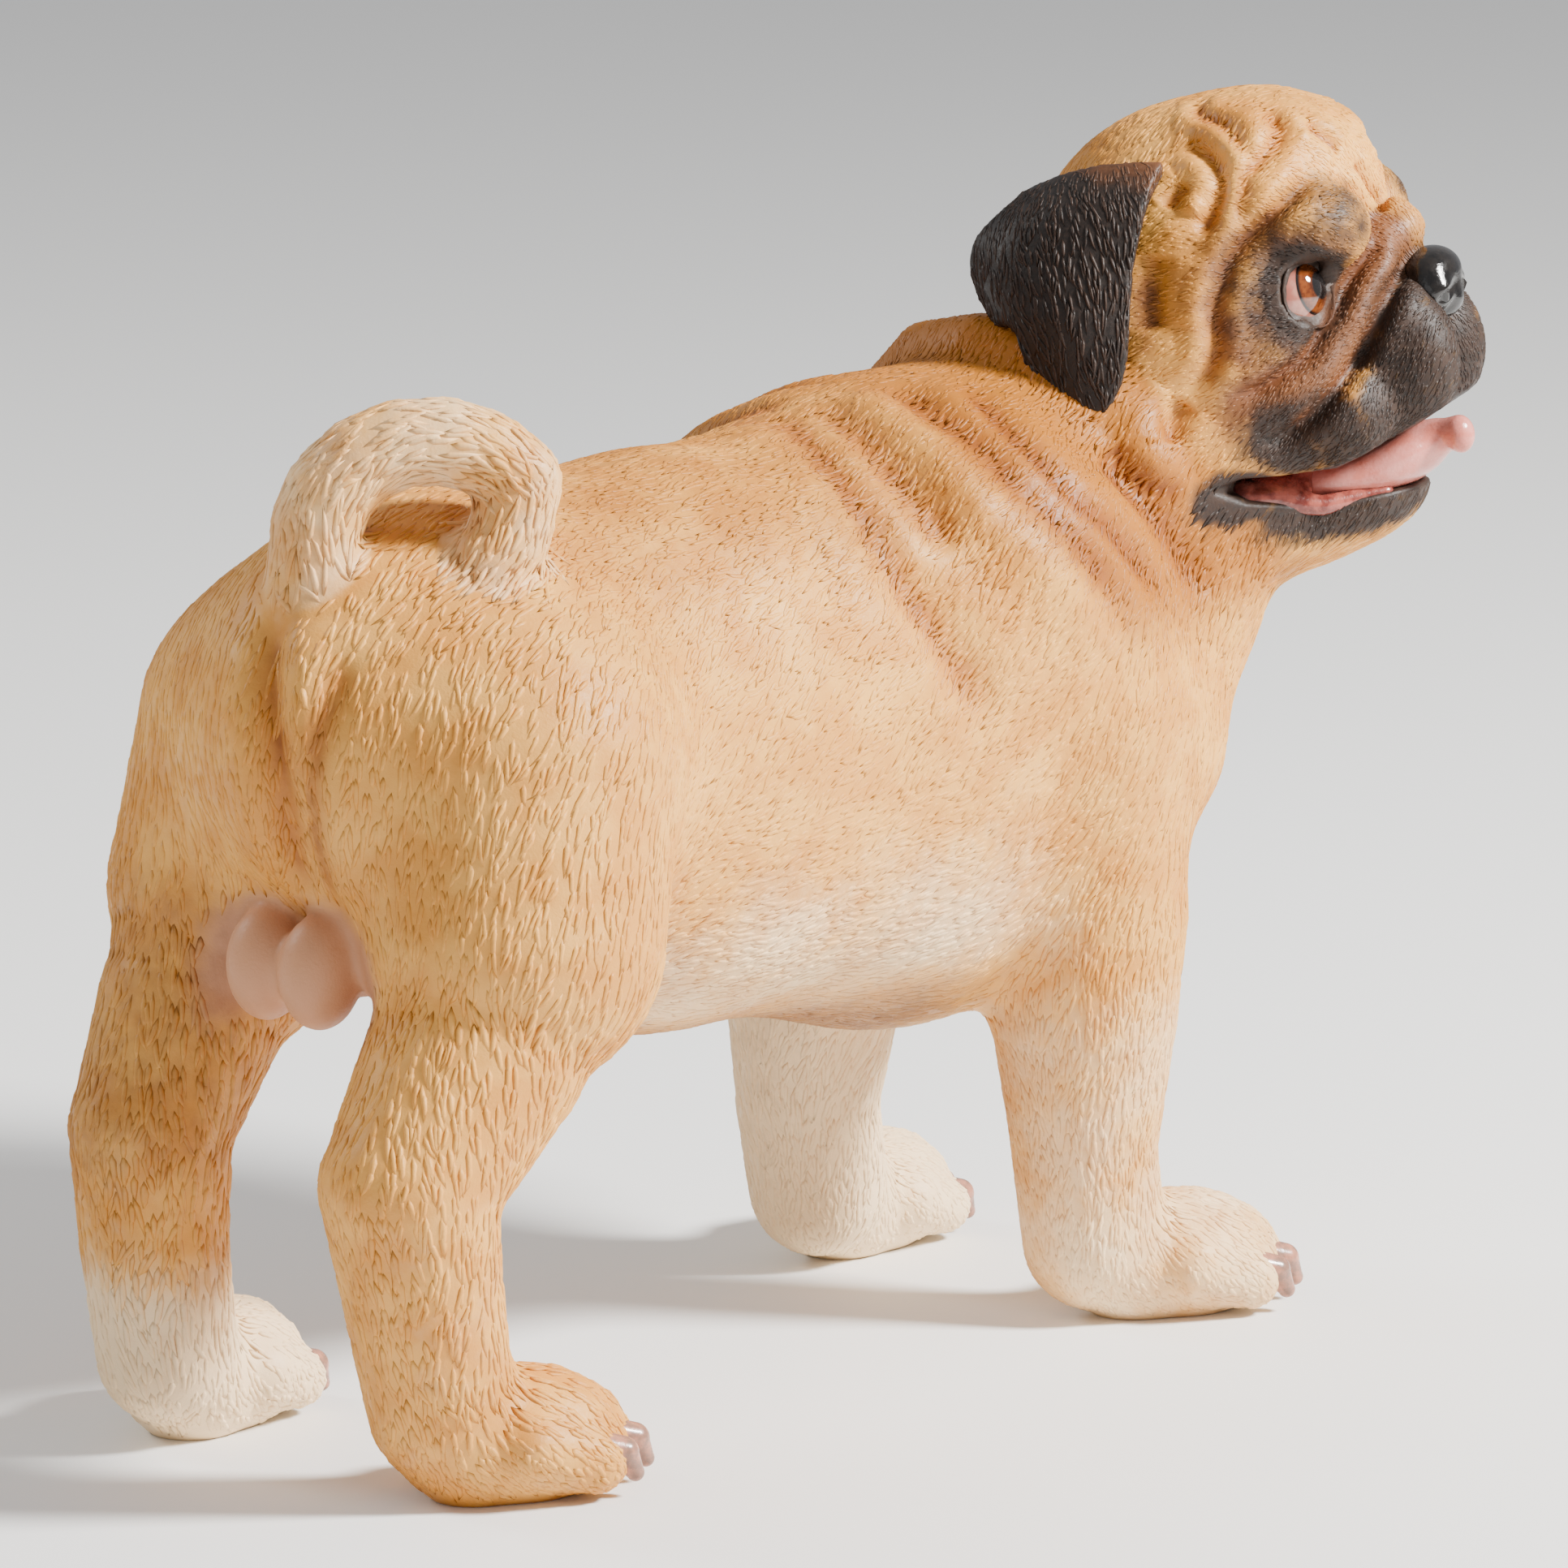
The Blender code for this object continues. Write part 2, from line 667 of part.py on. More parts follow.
def finish(parts):
    """Set the box's middle over the origin, shade the pieces and give them their finish."""
    made = materials()
    corners = []
    for thing in parts.objects:
        corners += [Vector(corner) for corner in thing.bound_box]
    low = [min(corner[axis] for corner in corners) for axis in range(3)]
    high = [max(corner[axis] for corner in corners) for axis in range(3)]
    shift = Matrix.Translation((-(low[0] + high[0]) / 2, -(low[1] + high[1]) / 2, -low[2]))
    for thing in parts.objects:
        thing.data.transform(shift)
        thing.data.materials.clear()
        thing.data.materials.append(made[material_name(thing.name)])
        thing.data.shade_smooth()
        thing.data.set_sharp_from_angle(angle=math.radians(SHARP_ANGLE))


def main():
    for thing in list(bpy.data.objects):
        bpy.data.objects.remove(thing)
    parts = bpy.data.collections.new("pug_statue")
    cutters = bpy.data.collections.new("cutters")
    bpy.context.scene.collection.children.link(parts)
    bpy.context.scene.collection.children.link(cutters)
    body = solid("body", build_flesh(), VOXEL, FLESH_FACES, parts)
    subtract(body, floor_cutter(cutters))
    subtract(body, mouth_cutter(cutters))
    for word, side in (("left", 1), ("right", -1)):
        eye("eye_" + word, side, EYE_RADIUS, parts)
        socket = eye("socket_" + word, side, EYE_RADIUS + GAP, cutters)
        socket.hide_render = True
        socket.display_type = "WIRE"
        subtract(body, socket)
    trim = puffed(body, "trim", cutters)
    grown = [ear("ear_left", 1, parts), ear("ear_right", -1, parts)]
    for name, forms in (("nose", nose_forms), ("tongue", tongue_forms), ("tail", tail_forms)):
        flesh = Flesh()
        forms(flesh)
        voxel, faces = ORGANS[name]
        grown.append(solid(name, flesh, voxel, faces, parts))
    for end, name, side in LEGS:
        for number, toe in enumerate(TOES):
            grown.append(claw(f"claw_{name}_{number + 1}", paw_place(end, name, side), toe, parts))
    for thing in grown:
        subtract(thing, trim)
        keep_largest(thing)
    part_flesh(body, parts, cutters)
    finish(parts)


main()
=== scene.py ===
"""The painted cast statue of a pug puppy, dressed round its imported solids.

One skin covers the flesh from nose to tail. It is the solids' own set of muscles with the
wrinkles, lids, lips and toes added, and carved tufts of short fur lie over it. Ears, eyes,
nose, tongue and claws are pieces of their own.
Muscles are placed in millimetres: x is the body's forward, y its left, z up, with the
ground at z = 0 and x = y = 0 half way between the four paws. SHIFT takes them to the frame.
"""

import math

import bmesh
import bpy
import numpy as np
from mathutils import Matrix, Vector
from mathutils.bvhtree import BVHTree


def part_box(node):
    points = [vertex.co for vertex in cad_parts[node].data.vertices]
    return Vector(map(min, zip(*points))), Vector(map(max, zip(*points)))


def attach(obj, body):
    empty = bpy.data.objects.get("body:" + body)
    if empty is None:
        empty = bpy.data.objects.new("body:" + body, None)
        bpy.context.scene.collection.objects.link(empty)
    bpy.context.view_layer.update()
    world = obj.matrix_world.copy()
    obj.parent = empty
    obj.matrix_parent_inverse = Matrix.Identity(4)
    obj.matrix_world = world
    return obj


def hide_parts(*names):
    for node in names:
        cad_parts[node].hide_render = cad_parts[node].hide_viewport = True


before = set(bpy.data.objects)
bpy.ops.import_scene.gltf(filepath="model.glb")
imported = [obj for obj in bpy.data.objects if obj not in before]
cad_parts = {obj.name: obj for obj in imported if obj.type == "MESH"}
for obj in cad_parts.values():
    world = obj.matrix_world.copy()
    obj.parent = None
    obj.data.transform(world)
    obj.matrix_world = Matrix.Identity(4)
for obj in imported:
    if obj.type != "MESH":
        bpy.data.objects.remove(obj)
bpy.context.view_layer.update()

MM = 0.001

# Making: how deep the coat is, the fineness of the meshes, and how far a muscle's pull reaches
COAT_DEPTH = 0.4
SKIN_VOXEL = 1.6
EAR_VOXEL = 0.8
EAR_THICKNESS = 4.4
EAR_COLUMNS = 33
EAR_ROWS = 36
CULL = 26.0
FAR = 1e9
LEAST_STEEPNESS = 0.25
GRADIENT_STEP = 0.05

# Skin: what is meshed finer, how far the lumps rise at most, and how far in an eye's floor lies
FACE_BACK = -12.0
CHIN_FLOOR = -70.0
PAW_TOP = 33.0
MOST_LUMP = 4.0
EYE_FLOOR = 1.2
EYE_REACH = 16.0
MOUTH_HALF_WIDTH = 60.0
MOUTH_MIDDLE = (30, 0, -40)

# Eyes: where each opening faces, its half sizes, and where the iris looks from there
EYE_OUTWARD = 35.0
EYE_UPWARD = 5.0
EYE_SLANT = 22.0
EYE_OPENING = (7.3, 8.3)
LID_THICKNESS = 0.8
RIM_RADIUS = 1.1
EYEBALL_RADIUS = 10.8
RIM_STEPS = 20
GAZE_OUTWARD = 14.0
GAZE_UPWARD = 9.0

# Camera: turn from the left side, rise above level, distance, the point aimed at, and its lens
VIEW_TURN = 48.46
VIEW_RISE = 11.07
VIEW_DISTANCE = 2500.0
AIM_RIGHT = 19.7
AIM_UP = 142.1
LENS = 232.9
SENSOR = 36.0
PHOTO_SIZE = 1932

# Coat: how deep a tuft's sides sink, how the roots spread, where its pieces part, and its flat map
SINK = 0.15
LEAST_REACH = 0.55
CROWDING = 3.0
CELL = 1.22
NO_TUFTS = 99.0
SOLE_EDGE = 1.2
LIP_EDGE = 0.9
LID_EDGE = 0.9
EAR_BURIED = 34.0
BARE_SEAT = 0.6
LEG_TOP = 112.0
FACE_SPLIT = 16.0
TRUNK_SPLIT = 20.0
SKIN_MAP_FACES = 8000
EAR_MAP_FACES = 3000
PATCH = 0.0015
PATCH_SHAPE = np.array([(0, -1), (-1, -0.3), (0, -0.2), (1, -0.3), (-0.8, 0.4), (0, 0.4), (0.8, 0.4), (0, 1)])
UNDERSIDES = (2, 7, 8, 11)
SEED = 20

# Paint, as linear colours
FAWN = (0.72, 0.355, 0.075)
FAWN_DEEP = (0.60, 0.255, 0.042)
WARM = (0.36, 0.125, 0.010)
PALE = (0.88, 0.66, 0.40)
PINK = (0.52, 0.25, 0.13)
RUST = (0.27, 0.085, 0.012)
BROWN = (0.175, 0.066, 0.024)
BLACK = (0.008, 0.0055, 0.0045)
BLACK_RUBBED = (0.034, 0.017, 0.010)
GROOVE = (0.80, 0.68, 0.56)
WASH = (0.62, 0.44, 0.32)
MOUTH_PINK = (0.50, 0.15, 0.12)
MOUTH_RED = (0.30, 0.05, 0.04)
IRIS_DEEP = (0.045, 0.010, 0.003)
IRIS_BRIGHT = (0.17, 0.042, 0.008)
IRIS_STREAK = (0.5, 0.42, 0.4)
EYE_BLACK = (0.006, 0.005, 0.005)
EYE_WHITE = (0.40, 0.17, 0.12)
EYE_WHITE_RED = (0.32, 0.10, 0.07)
IRIS_RADIUS = 7.4
PUPIL_RADIUS = 3.3

# Lacquers: two colours, the size of their mottling, the roughness and the height of the bumps
LACQUERS = {
    "nose_black": ((0.004, 0.0035, 0.0035), (0.010, 0.008, 0.007), 4.0, 0.14, 0.10),
    "tongue_pink": ((0.60, 0.22, 0.18), (0.52, 0.15, 0.11), 6.0, 0.20, 0.10),
    "gum_red": ((0.34, 0.085, 0.06), (0.13, 0.022, 0.016), 4.0, 0.22, 0.10),
    "claw_pink": ((0.44, 0.19, 0.12), (0.22, 0.12, 0.085), 3.0, 0.22, 0.05),
}

# Studio: each light's place, size, power and colour, then the surroundings
LIGHT_AIM = (0, 0, 0.15)
LIGHTS = {
    "key": ((0.75, -1.35, 1.35), 0.42, 145, (1.0, 0.985, 0.96)),
    "fill": ((-1.9, -0.9, 0.7), 1.2, 3, (0.97, 0.98, 1.0)),
    "back": ((-0.6, 1.5, 1.2), 0.6, 16, (1.0, 0.99, 0.97)),
}
WORLD_COLOUR = (0.96, 0.97, 1.0, 1.0)
WORLD_STRENGTH = 0.45
FLOOR_SIZE = 8
FLOOR_COLOUR = (0.86, 0.86, 0.85, 1.0)
FLOOR_ROUGHNESS = 0.6

# Body: the driving sizes of the solids
WHEELBASE = 240.8
FORE_TRACK = 104.0
HIND_TRACK = 100.0
HALF_BASE = WHEELBASE / 2
BACK_TOP = 230.0
CHEST_FLOOR = 74.0
CHEST_HALF_WIDTH = 60.0
RUMP_BACK = -160.0
HEAD_CENTRE = (158.0, -32.0, 249.0)
HEAD_YAW = -65.0
HEAD_PITCH = 8.0
EYE_CENTRE = (24.0, 27.0, 3.5)
EYE_RADIUS = 10.5
MOUTH_CORNER = (5.0, -41.5)
EAR_FRONT = ((0, 34, 39), (-3, 44, 31), (-7, 50, 17), (-9, 53.5, 4), (-11, 56, -8), (-15, 57.5, -16))
EAR_REAR = ((-36, 32, 35), (-49, 42, 25), (-51, 48, 15), (-45, 52.5, 7), (-37, 55, 4), (-34, 56, -10),
            (-29, 57, -15))
EAR_TIP = 3.5
EAR_CURL = 8.0
EAR_CROWN = 7.0
LEGS = (("front", "front_left", 1), ("front", "front_right", -1), ("hind", "hind_left", 1),
        ("hind", "hind_right", -1))
PAW_HEADING = {"front_left": 8.0, "front_right": -25.0, "hind_left": 15.0, "hind_right": -23.0}
PAW_LENGTH = 53.0
PAW_WIDTH = 40.0
TOES = ((-15.0, 9.0, -10.0), (-5.2, 16.5, -3.0), (5.2, 16.5, 3.0), (15.0, 9.0, 10.0))
TOE_RADIUS = 7.6
CLAW_RADII = (4.4, 3.9, 2.2)


def rotation(yaw, pitch=0.0, roll=0.0):
    """Axes as columns: forward, left and up, turned left by yaw, up by pitch, over by roll."""
    turn = Matrix.Rotation(math.radians(yaw), 3, "Z")
    turn @= Matrix.Rotation(math.radians(-pitch), 3, "Y")
    turn @= Matrix.Rotation(math.radians(roll), 3, "X")
    return np.array(turn)


class Place:
    """A local frame: where it stands and how it is turned."""

    def __init__(self, origin=(0, 0, 0), yaw=0.0, pitch=0.0, roll=0.0):
        self.origin = np.array(origin, float)
        self.axes = rotation(yaw, pitch, roll)

    def point(self, local):
        return self.origin + self.axes @ np.array(local, float)

    def local(self, points):
        return (points - self.origin) @ self.axes


BODY = Place()
HEAD = Place(HEAD_CENTRE, HEAD_YAW, HEAD_PITCH)


# Folds: width, depth and rise of each in millimetres, and the pixels of the photograph it crosses
FACE_FOLDS = (
    (1.9, 1.2, 0.7, ((1487, 117), (1477, 135), (1485, 147), (1505, 156), (1520, 170), (1530, 185),
                     (1530, 200))),
    (2.2, 1.6, 0.9, ((1570, 128), (1566, 145), (1575, 162), (1568, 180), (1555, 195), (1545, 205),
                     (1533, 220), (1533, 240), (1527, 265), (1527, 285))),
    (2.3, 2.2, 1.3, ((1455, 178), (1480, 185), (1497, 198), (1504, 215), (1504, 235), (1497, 258),
                     (1487, 275), (1470, 285))),
    (2.2, 1.8, 1.1, ((1625, 230), (1610, 228), (1590, 245), (1570, 262), (1545, 283), (1530, 300),
                     (1515, 325), (1505, 350), (1497, 380), (1497, 400), (1498, 430), (1490, 455),
                     (1475, 470), (1462, 490))),
    (1.9, 1.4, 0.8, ((1605, 155), (1620, 165), (1635, 175), (1650, 190))),
    (1.9, 1.5, 0.9, ((1665, 200), (1680, 225), (1695, 250), (1703, 265))),
    (2.0, 0.9, 0.8, ((1640, 225), (1665, 235), (1680, 255), (1685, 275), (1680, 300), (1670, 315),
                     (1655, 335))),
    (2.1, 2.3, 1.1, ((1700, 280), (1695, 305), (1675, 330), (1660, 350), (1650, 375), (1635, 395),
                     (1615, 435), (1590, 455), (1560, 475), (1540, 485), (1500, 490))),
    (2.1, 2.2, 0.9, ((1740, 310), (1725, 340), (1710, 370), (1695, 400), (1675, 440), (1650, 475),
                     (1620, 510), (1580, 540), (1550, 550))),
    (4.0, 1.9, 0.6, ((1425, 310), (1420, 340), (1418, 380), (1420, 410))),
    (2.9, 1.9, 0.6, ((1462, 495), (1447, 520), (1445, 548))),
    (2.4, 1.4, 0.8, ((1462, 228), (1447, 243), (1440, 258))),
    (3.4, 1.4, 0.4, ((1370, 545), (1380, 570), (1400, 590), (1430, 603), (1460, 605))),
)
NECK_FOLDS = (
    (5.5, 2.8, 1.6, ((1090, 470), (1145, 505), (1200, 540), (1260, 600), (1340, 680), (1400, 760))),
    (5.2, 2.4, 1.4, ((1000, 500), (1080, 560), (1130, 620), (1180, 680))),
    (5.2, 1.7, 1.0, ((950, 510), (1010, 560), (1100, 700), (1170, 800), (1230, 900))),
    (5.0, 2.4, 1.2, ((1350, 560), (1390, 600), (1430, 640), (1500, 740))),
    (4.5, 2.0, 1.2, ((1180, 470), (1240, 530), (1310, 600), (1370, 660), (1440, 740))),
)
RUMP_FOLDS = (
    (4.5, 3.2, 1.2, ((335, 745), (330, 820), (335, 900), (345, 980), (362, 1060), (380, 1110))),
    (4.0, 1.6, 0.6, ((430, 800), (400, 880), (385, 960), (390, 1050), (420, 1150), (440, 1240))),
)
# Lumps of the face: the pixel of the photograph that each is seen at, its size and its rise
FACE_LUMPS = (((1535, 150), 7, 1.3), ((1595, 150), 6, 1.3), ((1560, 240), 8, 1.0), ((1640, 165), 6, 1.6),
              ((1672, 185), 5, 1.6), ((1712, 218), 7, 3.0), ((1650, 255), 9, 1.6), ((1470, 150), 8, 1.0),
              ((1450, 285), 6, 1.2), ((1400, 430), 8, 1.5), ((1455, 430), 9, 1.2), ((1420, 560), 11, 0.5),
              ((1600, 290), 8, 1.0))
# In the head's own axes: the roll of skin over the muzzle, and where the fur of the face parts
NOSE_ROLL = ((49, 0, 14), (44, 12, 9), (37, 23, -5), (24, 33, -20))
FACE_PARTING = (58, 0, -2)

# Patches of paint, alike on both sides: place, middle, half sizes, softness of the edge, and turn
PATCHES = {
    "neck": (BODY, (112, 22, 205), (58, 62, 52), 0.9),
    "chest": (BODY, (138, 12, 140), (30, 40, 60), 0.8),
    "seat": (BODY, (-148, 9, 119), (17, 19, 20), 0.6),
    "muzzle": (HEAD, (52, 8, -13), (22, 24, 24), 0.5),
    "flews": (HEAD, (38, 19, -31), (27, 18, 15), 0.35, (0, 12, 0)),
    "jaw": (HEAD, (30, 12, -50), (34, 30, 10.5), 0.75, (0, 4, 0)),
    "band": (HEAD, (27, 34, -30), (20, 17, 12), 0.7),
    "brow": (HEAD, (34, 25, 20), (15, 13, 12), 0.9),
    "corner": (HEAD, (6, 37, -43.5), (15, 14, 8.5), 0.6),
    "eyes": (HEAD, (28, 32, 3), (22, 19, 22), 0.9),
    "rims": (HEAD, (31, 33, 4), (13.5, 13, 14), 0.4),
    "disc": (HEAD, (18, 36, 2), (22, 18, 26), 0.7),
    "cheek": (HEAD, (16, 34, -26), (22, 16, 14), 0.8),
    "temple": (HEAD, (-8, 44, 0), (6, 14, 16), 1.0),
    "wide": (HEAD, (40, 10, -8), (32, 40, 36), 0.5),
}
DARKNESS = {
    "muzzle": 1, "flews": 1, "jaw": 1, "corner": 1, "rims": 1, "band": 0.95, "brow": 0.75, "eyes": 0.70,
}

# The lie of the coat: by each place, how far its pull reaches and which way the fur runs
COMBS = (
    ((60, 0, 225), 32, (-1, 0, -0.15)), ((-10, 0, 228), 35, (-1, 0, -0.1)),
    ((-80, 0, 225), 32, (-1, 0, -0.2)), ((40, 50, 190), 30, (-0.75, 0, -0.66)),
    ((-20, 52, 185), 30, (-0.78, 0, -0.6)), ((-80, 50, 185), 28, (-0.7, 0, -0.7)),
    ((30, 56, 135), 30, (-0.95, 0, -0.35)), ((-25, 50, 130), 28, (-1, 0, -0.25)),
    ((30, 10, 78), 26, (-1, 0, -0.1)), ((-30, 10, 92), 26, (-1, 0, -0.1)),
    ((90, 50, 165), 28, (-0.5, 0, -0.85)), ((140, 10, 140), 26, (-0.1, 0, -1)),
    ((130, 10, 105), 22, (-0.1, 0, -1)), ((95, 45, 100), 22, (-0.2, 0, -1)),
    ((96, 45, 50), 25, (0, 0, -1)), ((-105, 60, 150), 26, (-0.35, 0, -1)),
    ((-115, 60, 110), 24, (-0.25, 0, -1)), ((-145, 45, 72), 24, (0, 0, -1)),
    ((-143, 45, 38), 20, (0.1, 0, -1)), ((-155, 15, 175), 24, (-0.1, 0, -1)),
    ((-150, 15, 120), 20, (0, 0, -1)), ((-130, 0, 215), 18, (-0.9, 0, -0.4)),
    ((95, 32, 212), 26, (-0.75, 0.1, -0.65)), ((125, 0, 235), 24, (-0.75, 0, -0.6)),
    ((120, 42, 190), 24, (-0.6, 0, -0.8)), ((150, 0, 180), 22, (0, 0, -1)),
)

EYE_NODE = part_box("eye_left")
SHIFT = np.array((EYE_NODE[0] + EYE_NODE[1]) / 2) / MM - HEAD.point(EYE_CENTRE)


def fade(x, start, end):
    """A smooth step from 0 at start to 1 at end."""
    share = np.clip((x - start) / (end - start), 0.0, 1.0)
    return share * share * (3.0 - 2.0 * share)


def smooth_min(a, b, blend):
    """The lesser of two distances, rounded over the width of blend."""
    mix = np.clip(0.5 + 0.5 * (b - a) / blend, 0.0, 1.0)
    return b + (a - b) * mix - blend * mix * (1.0 - mix)


def outline_distance(points, outline):
    """Distance in the plane from a closed outline, below zero inside it."""
    best = np.full(len(points), FAR)
    inside = np.zeros(len(points), bool)
    for start, end in zip(outline, outline[1:] + outline[:1]):
        edge = np.subtract(end, start)
        away = points - start
        share = np.clip(away @ edge / (edge @ edge), 0.0, 1.0)
        best = np.minimum(best, np.linalg.norm(away - share[:, None] * edge, axis=1))
        level = points[:, 1] - start[1]
        crossing = start[0] + level * edge[0] / (edge[1] + 1e-12)
        inside ^= ((start[1] > points[:, 1]) != (end[1] > points[:, 1])) & (points[:, 0] < crossing)
    return np.where(inside, -best, best)


def oval(local, half_sizes):
    """Distance from an oval outline round the first axis, below zero inside it."""
    share = np.hypot(local[:, 1] / half_sizes[0], local[:, 2] / half_sizes[1])
    return (share - 1.0) * min(half_sizes)


def curve(points, t):
    """A point at share t along a smooth curve that passes through the given points."""
    place = t * (len(points) - 1)
    i = min(int(place), len(points) - 2)
    t = place - i
    knots = [np.array(points[max(0, min(len(points) - 1, k))], float) for k in range(i - 1, i + 3)]
    a, b, c, d = knots
    return 0.5 * (2 * b + (c - a) * t + (2 * a - 5 * b + 4 * c - d) * t ** 2
                  + (3 * b - a - 3 * c + d) * t ** 3)


def trace(points, line):
    """Distance of each point from a bent line, and how far along it, from 0 to 1."""
    best = np.full(len(points), FAR)
    along = np.zeros(len(points))
    count = len(line) - 1
    for i in range(count):
        edge = line[i + 1] - line[i]
        share = np.clip((points - line[i]) @ edge / (edge @ edge + 1e-9), 0.0, 1.0)
        away = np.linalg.norm(points - line[i] - share[:, None] * edge, axis=1)
        closer = away < best
        best[closer] = away[closer]
        along[closer] = (i + share[closer]) / count
    return best, along


def mirrored(place, points):
    """The points' twins on the other side of the place's middle plane."""
    local = place.local(points)
    local[:, 1] *= -1
    return place.origin + local @ place.axes.T


class Flesh:
    """Rounded muscles and the hollows pressed in them, blended into one surface."""

    def __init__(self, inset=0.0):
        self.forms = []
        self.inset = inset

    def add(self, kind, where, size, axes, blend, hollow, middle, reach):
        self.forms.append((kind, where, size, axes, blend, hollow, middle, reach + CULL))

    def ball(self, place, centre, radii, blend=8.0, turn=(0, 0, 0), hollow=False):
        """An ellipsoid with the given half sizes."""
        axes = place.axes @ rotation(*turn)
        where = place.point(centre)
        self.add("ball", where, np.array(radii, float), axes, blend, hollow, where, max(radii))

    def bar(self, place, start, start_radius, end, end_radius, blend=8.0, hollow=False):
        """A tapered bar with round ends."""
        self.chain(place, [start, end], [start_radius, end_radius], blend, hollow)

    def chain(self, place, points, radii, blend=4.0, hollow=False):
        """One bent bar through the points, with a radius at each."""
        where = [place.point(point) for point in points]
        middle = (np.min(where, 0) + np.max(where, 0)) / 2
        reach = max(np.linalg.norm(point - middle) for point in where) + max(radii)
        self.add("chain", where, np.array(radii, float), None, blend, hollow, middle, reach)

    def wedge(self, place, outline, half_width, blend):
        """A hollow right through from side to side, of the given outline seen from the side."""
        middle = place.point(MOUTH_MIDDLE)
        self.add("wedge", place.origin, (outline, half_width), place.axes, blend, True, middle, 60)

    def opening(self, place, centre, axes, half_sizes, floor, blend):
        """A hollow with an oval outline round the first axis, down to the floor along it."""
        where = place.point(centre)
        self.add("opening", where, (half_sizes, floor), axes, blend, True, where, 22)

    def depth(self, points):
        """Distance from the blended surface, below zero inside."""
        total = np.full(len(points), 1e3)
        for kind, where, size, axes, blend, hollow, middle, reach in self.forms:
            near = np.nonzero(((points - middle) ** 2).sum(1) < reach ** 2)[0]
            if len(near) == 0:
                continue
            spots = points[near]
            if kind == "ball":
                local = (spots - where) @ axes
                share = np.linalg.norm(local / size, axis=1)
                slope = np.linalg.norm(local / size ** 2, axis=1) + 1e-9
                away = share * (share - 1.0) / slope
            elif kind == "wedge":
                local = (spots - where) @ axes
                away = np.maximum(outline_distance(local[:, [0, 2]], size[0]), abs(local[:, 1]) - size[1])
            elif kind == "opening":
                local = (spots - where) @ axes
                away = np.maximum(oval(local, size[0]), size[1] - local[:, 0])
            else:
                away = np.full(len(spots), 1e3)
                for i in range(len(where) - 1):
                    along = where[i + 1] - where[i]
                    part = np.clip((spots - where[i]) @ along / (along @ along), 0.0, 1.0)
                    radius = size[i] + (size[i + 1] - size[i]) * part
                    nearest = where[i] + part[:, None] * along
                    away = np.minimum(away, np.linalg.norm(spots - nearest, axis=1) - radius)
            if hollow:
                total[near] = -smooth_min(-total[near], away, blend)
            else:
                total[near] = smooth_min(total[near], away, blend)
        return total + self.inset

    def slope(self, points):
        """Outward direction of the surface at each point."""
        out = np.zeros_like(points)
        for corner in ((1, 1, 1), (1, -1, -1), (-1, 1, -1), (-1, -1, 1)):
            shift = np.array(corner, float)
            out += shift * self.depth(points + shift * GRADIENT_STEP)[:, None]
        return out / (4 * GRADIENT_STEP)


def torso_forms(flesh):
    """Barrel chest, back, belly and rump."""
    chest_mid = (CHEST_FLOOR + 226) / 2
    flesh.ball(BODY, (66, 0, chest_mid), (82, CHEST_HALF_WIDTH, chest_mid - CHEST_FLOOR), 10)
    flesh.ball(BODY, (64, -2, 176), (64, 55, 62), 20)
    flesh.ball(BODY, (-18, 0, 158.5), (92, 58, BACK_TOP - 158.5), 24)
    flesh.ball(BODY, (-94, 0, 175), (abs(RUMP_BACK + 94), 54, BACK_TOP - 174), 24)
    flesh.ball(BODY, (118, -2, 136), (28, 38, 40), 20)
    for side in (-1, 1):
        flesh.bar(BODY, (66, side * 33, 194), 32, (112, side * 36, 146), 29, 18)


def neck_forms(flesh):
    """Thick neck that turns to the right, with the rolls of loose skin over it."""
    flesh.bar(BODY, (86, -2, 184), 45.5, (146, -20, 229), 39.5, 16)
    flesh.ball(BODY, (134, -30, 180), (27, 31, 30), 18)
    flesh.ball(HEAD, (6, -3, -55), (25, 28, 15), 12)
    for x, z, reach, size in ((70, 191, 44, 6.5), (97, 206, 44, 8.5)):
        points = []
        for step in range(9):
            angle = math.radians(-112 + 28 * step)
            points.append((x + 14 * abs(math.sin(angle)) ** 1.5, -5 + reach * math.sin(angle),
                           z + (reach - 8) * math.cos(angle)))
        flesh.chain(BODY, points, [size] * len(points), 7)


def tail_points():
    """Centre line of the tail: up from the rump, over in a curl and down on its right side."""
    points = [(-134, 0, 188), (-136, -1, 206)]
    for step in range(10):
        turn = math.radians(176 - 24 * step)
        reach = 23.5 - 0.12 * step ** 2 * (step > 6)
        forward = reach * math.cos(turn)
        points.append((-116.5 + 0.82 * forward, -15 - 0.57 * forward - 1.1 * step,
                       225 + 0.88 * reach * math.sin(turn)))
    return points


def tail_forms(flesh):
    """Tight curl of even thickness with a blunt end."""
    points = tail_points()
    radii = [15.0, 12.5] + [10.8 - 0.12 * step for step in range(len(points) - 2)]
    flesh.chain(BODY, points, radii, 3)


def leg_points(end, side):
    """Joints of one leg, from the body down to the wrist or ankle, with their radii."""
    if end == "front":
        back = 0 if side < 0 else 6
        points = [(90, side * 40, 150), (95 - back, side * 42, 104), (95 - back, side * 42, 78),
                  (95.5 - back, side * (42 + back / 2), 44), (98 - back / 2, side * (43 + back / 2), 20)]
        return points, [30, 26, 23.5, 18.5, 18]
    if side > 0:
        points = [(-104, 33, 168), (-114, 41, 132), (-133, 43, 106), (-148, 43, 78), (-147.5, 43, 52),
                  (-143.5, 43, 22)]
        return points, [41, 35.5, 23, 19.5, 18, 17]
    points = [(-104, -33, 168), (-113, -42, 130), (-126, -43, 106), (-149.5, -42.5, 77), (-145, -42.5, 52),
              (-138.5, -42.5, 22)]
    return points, [41, 36, 26, 21, 19, 17.5]


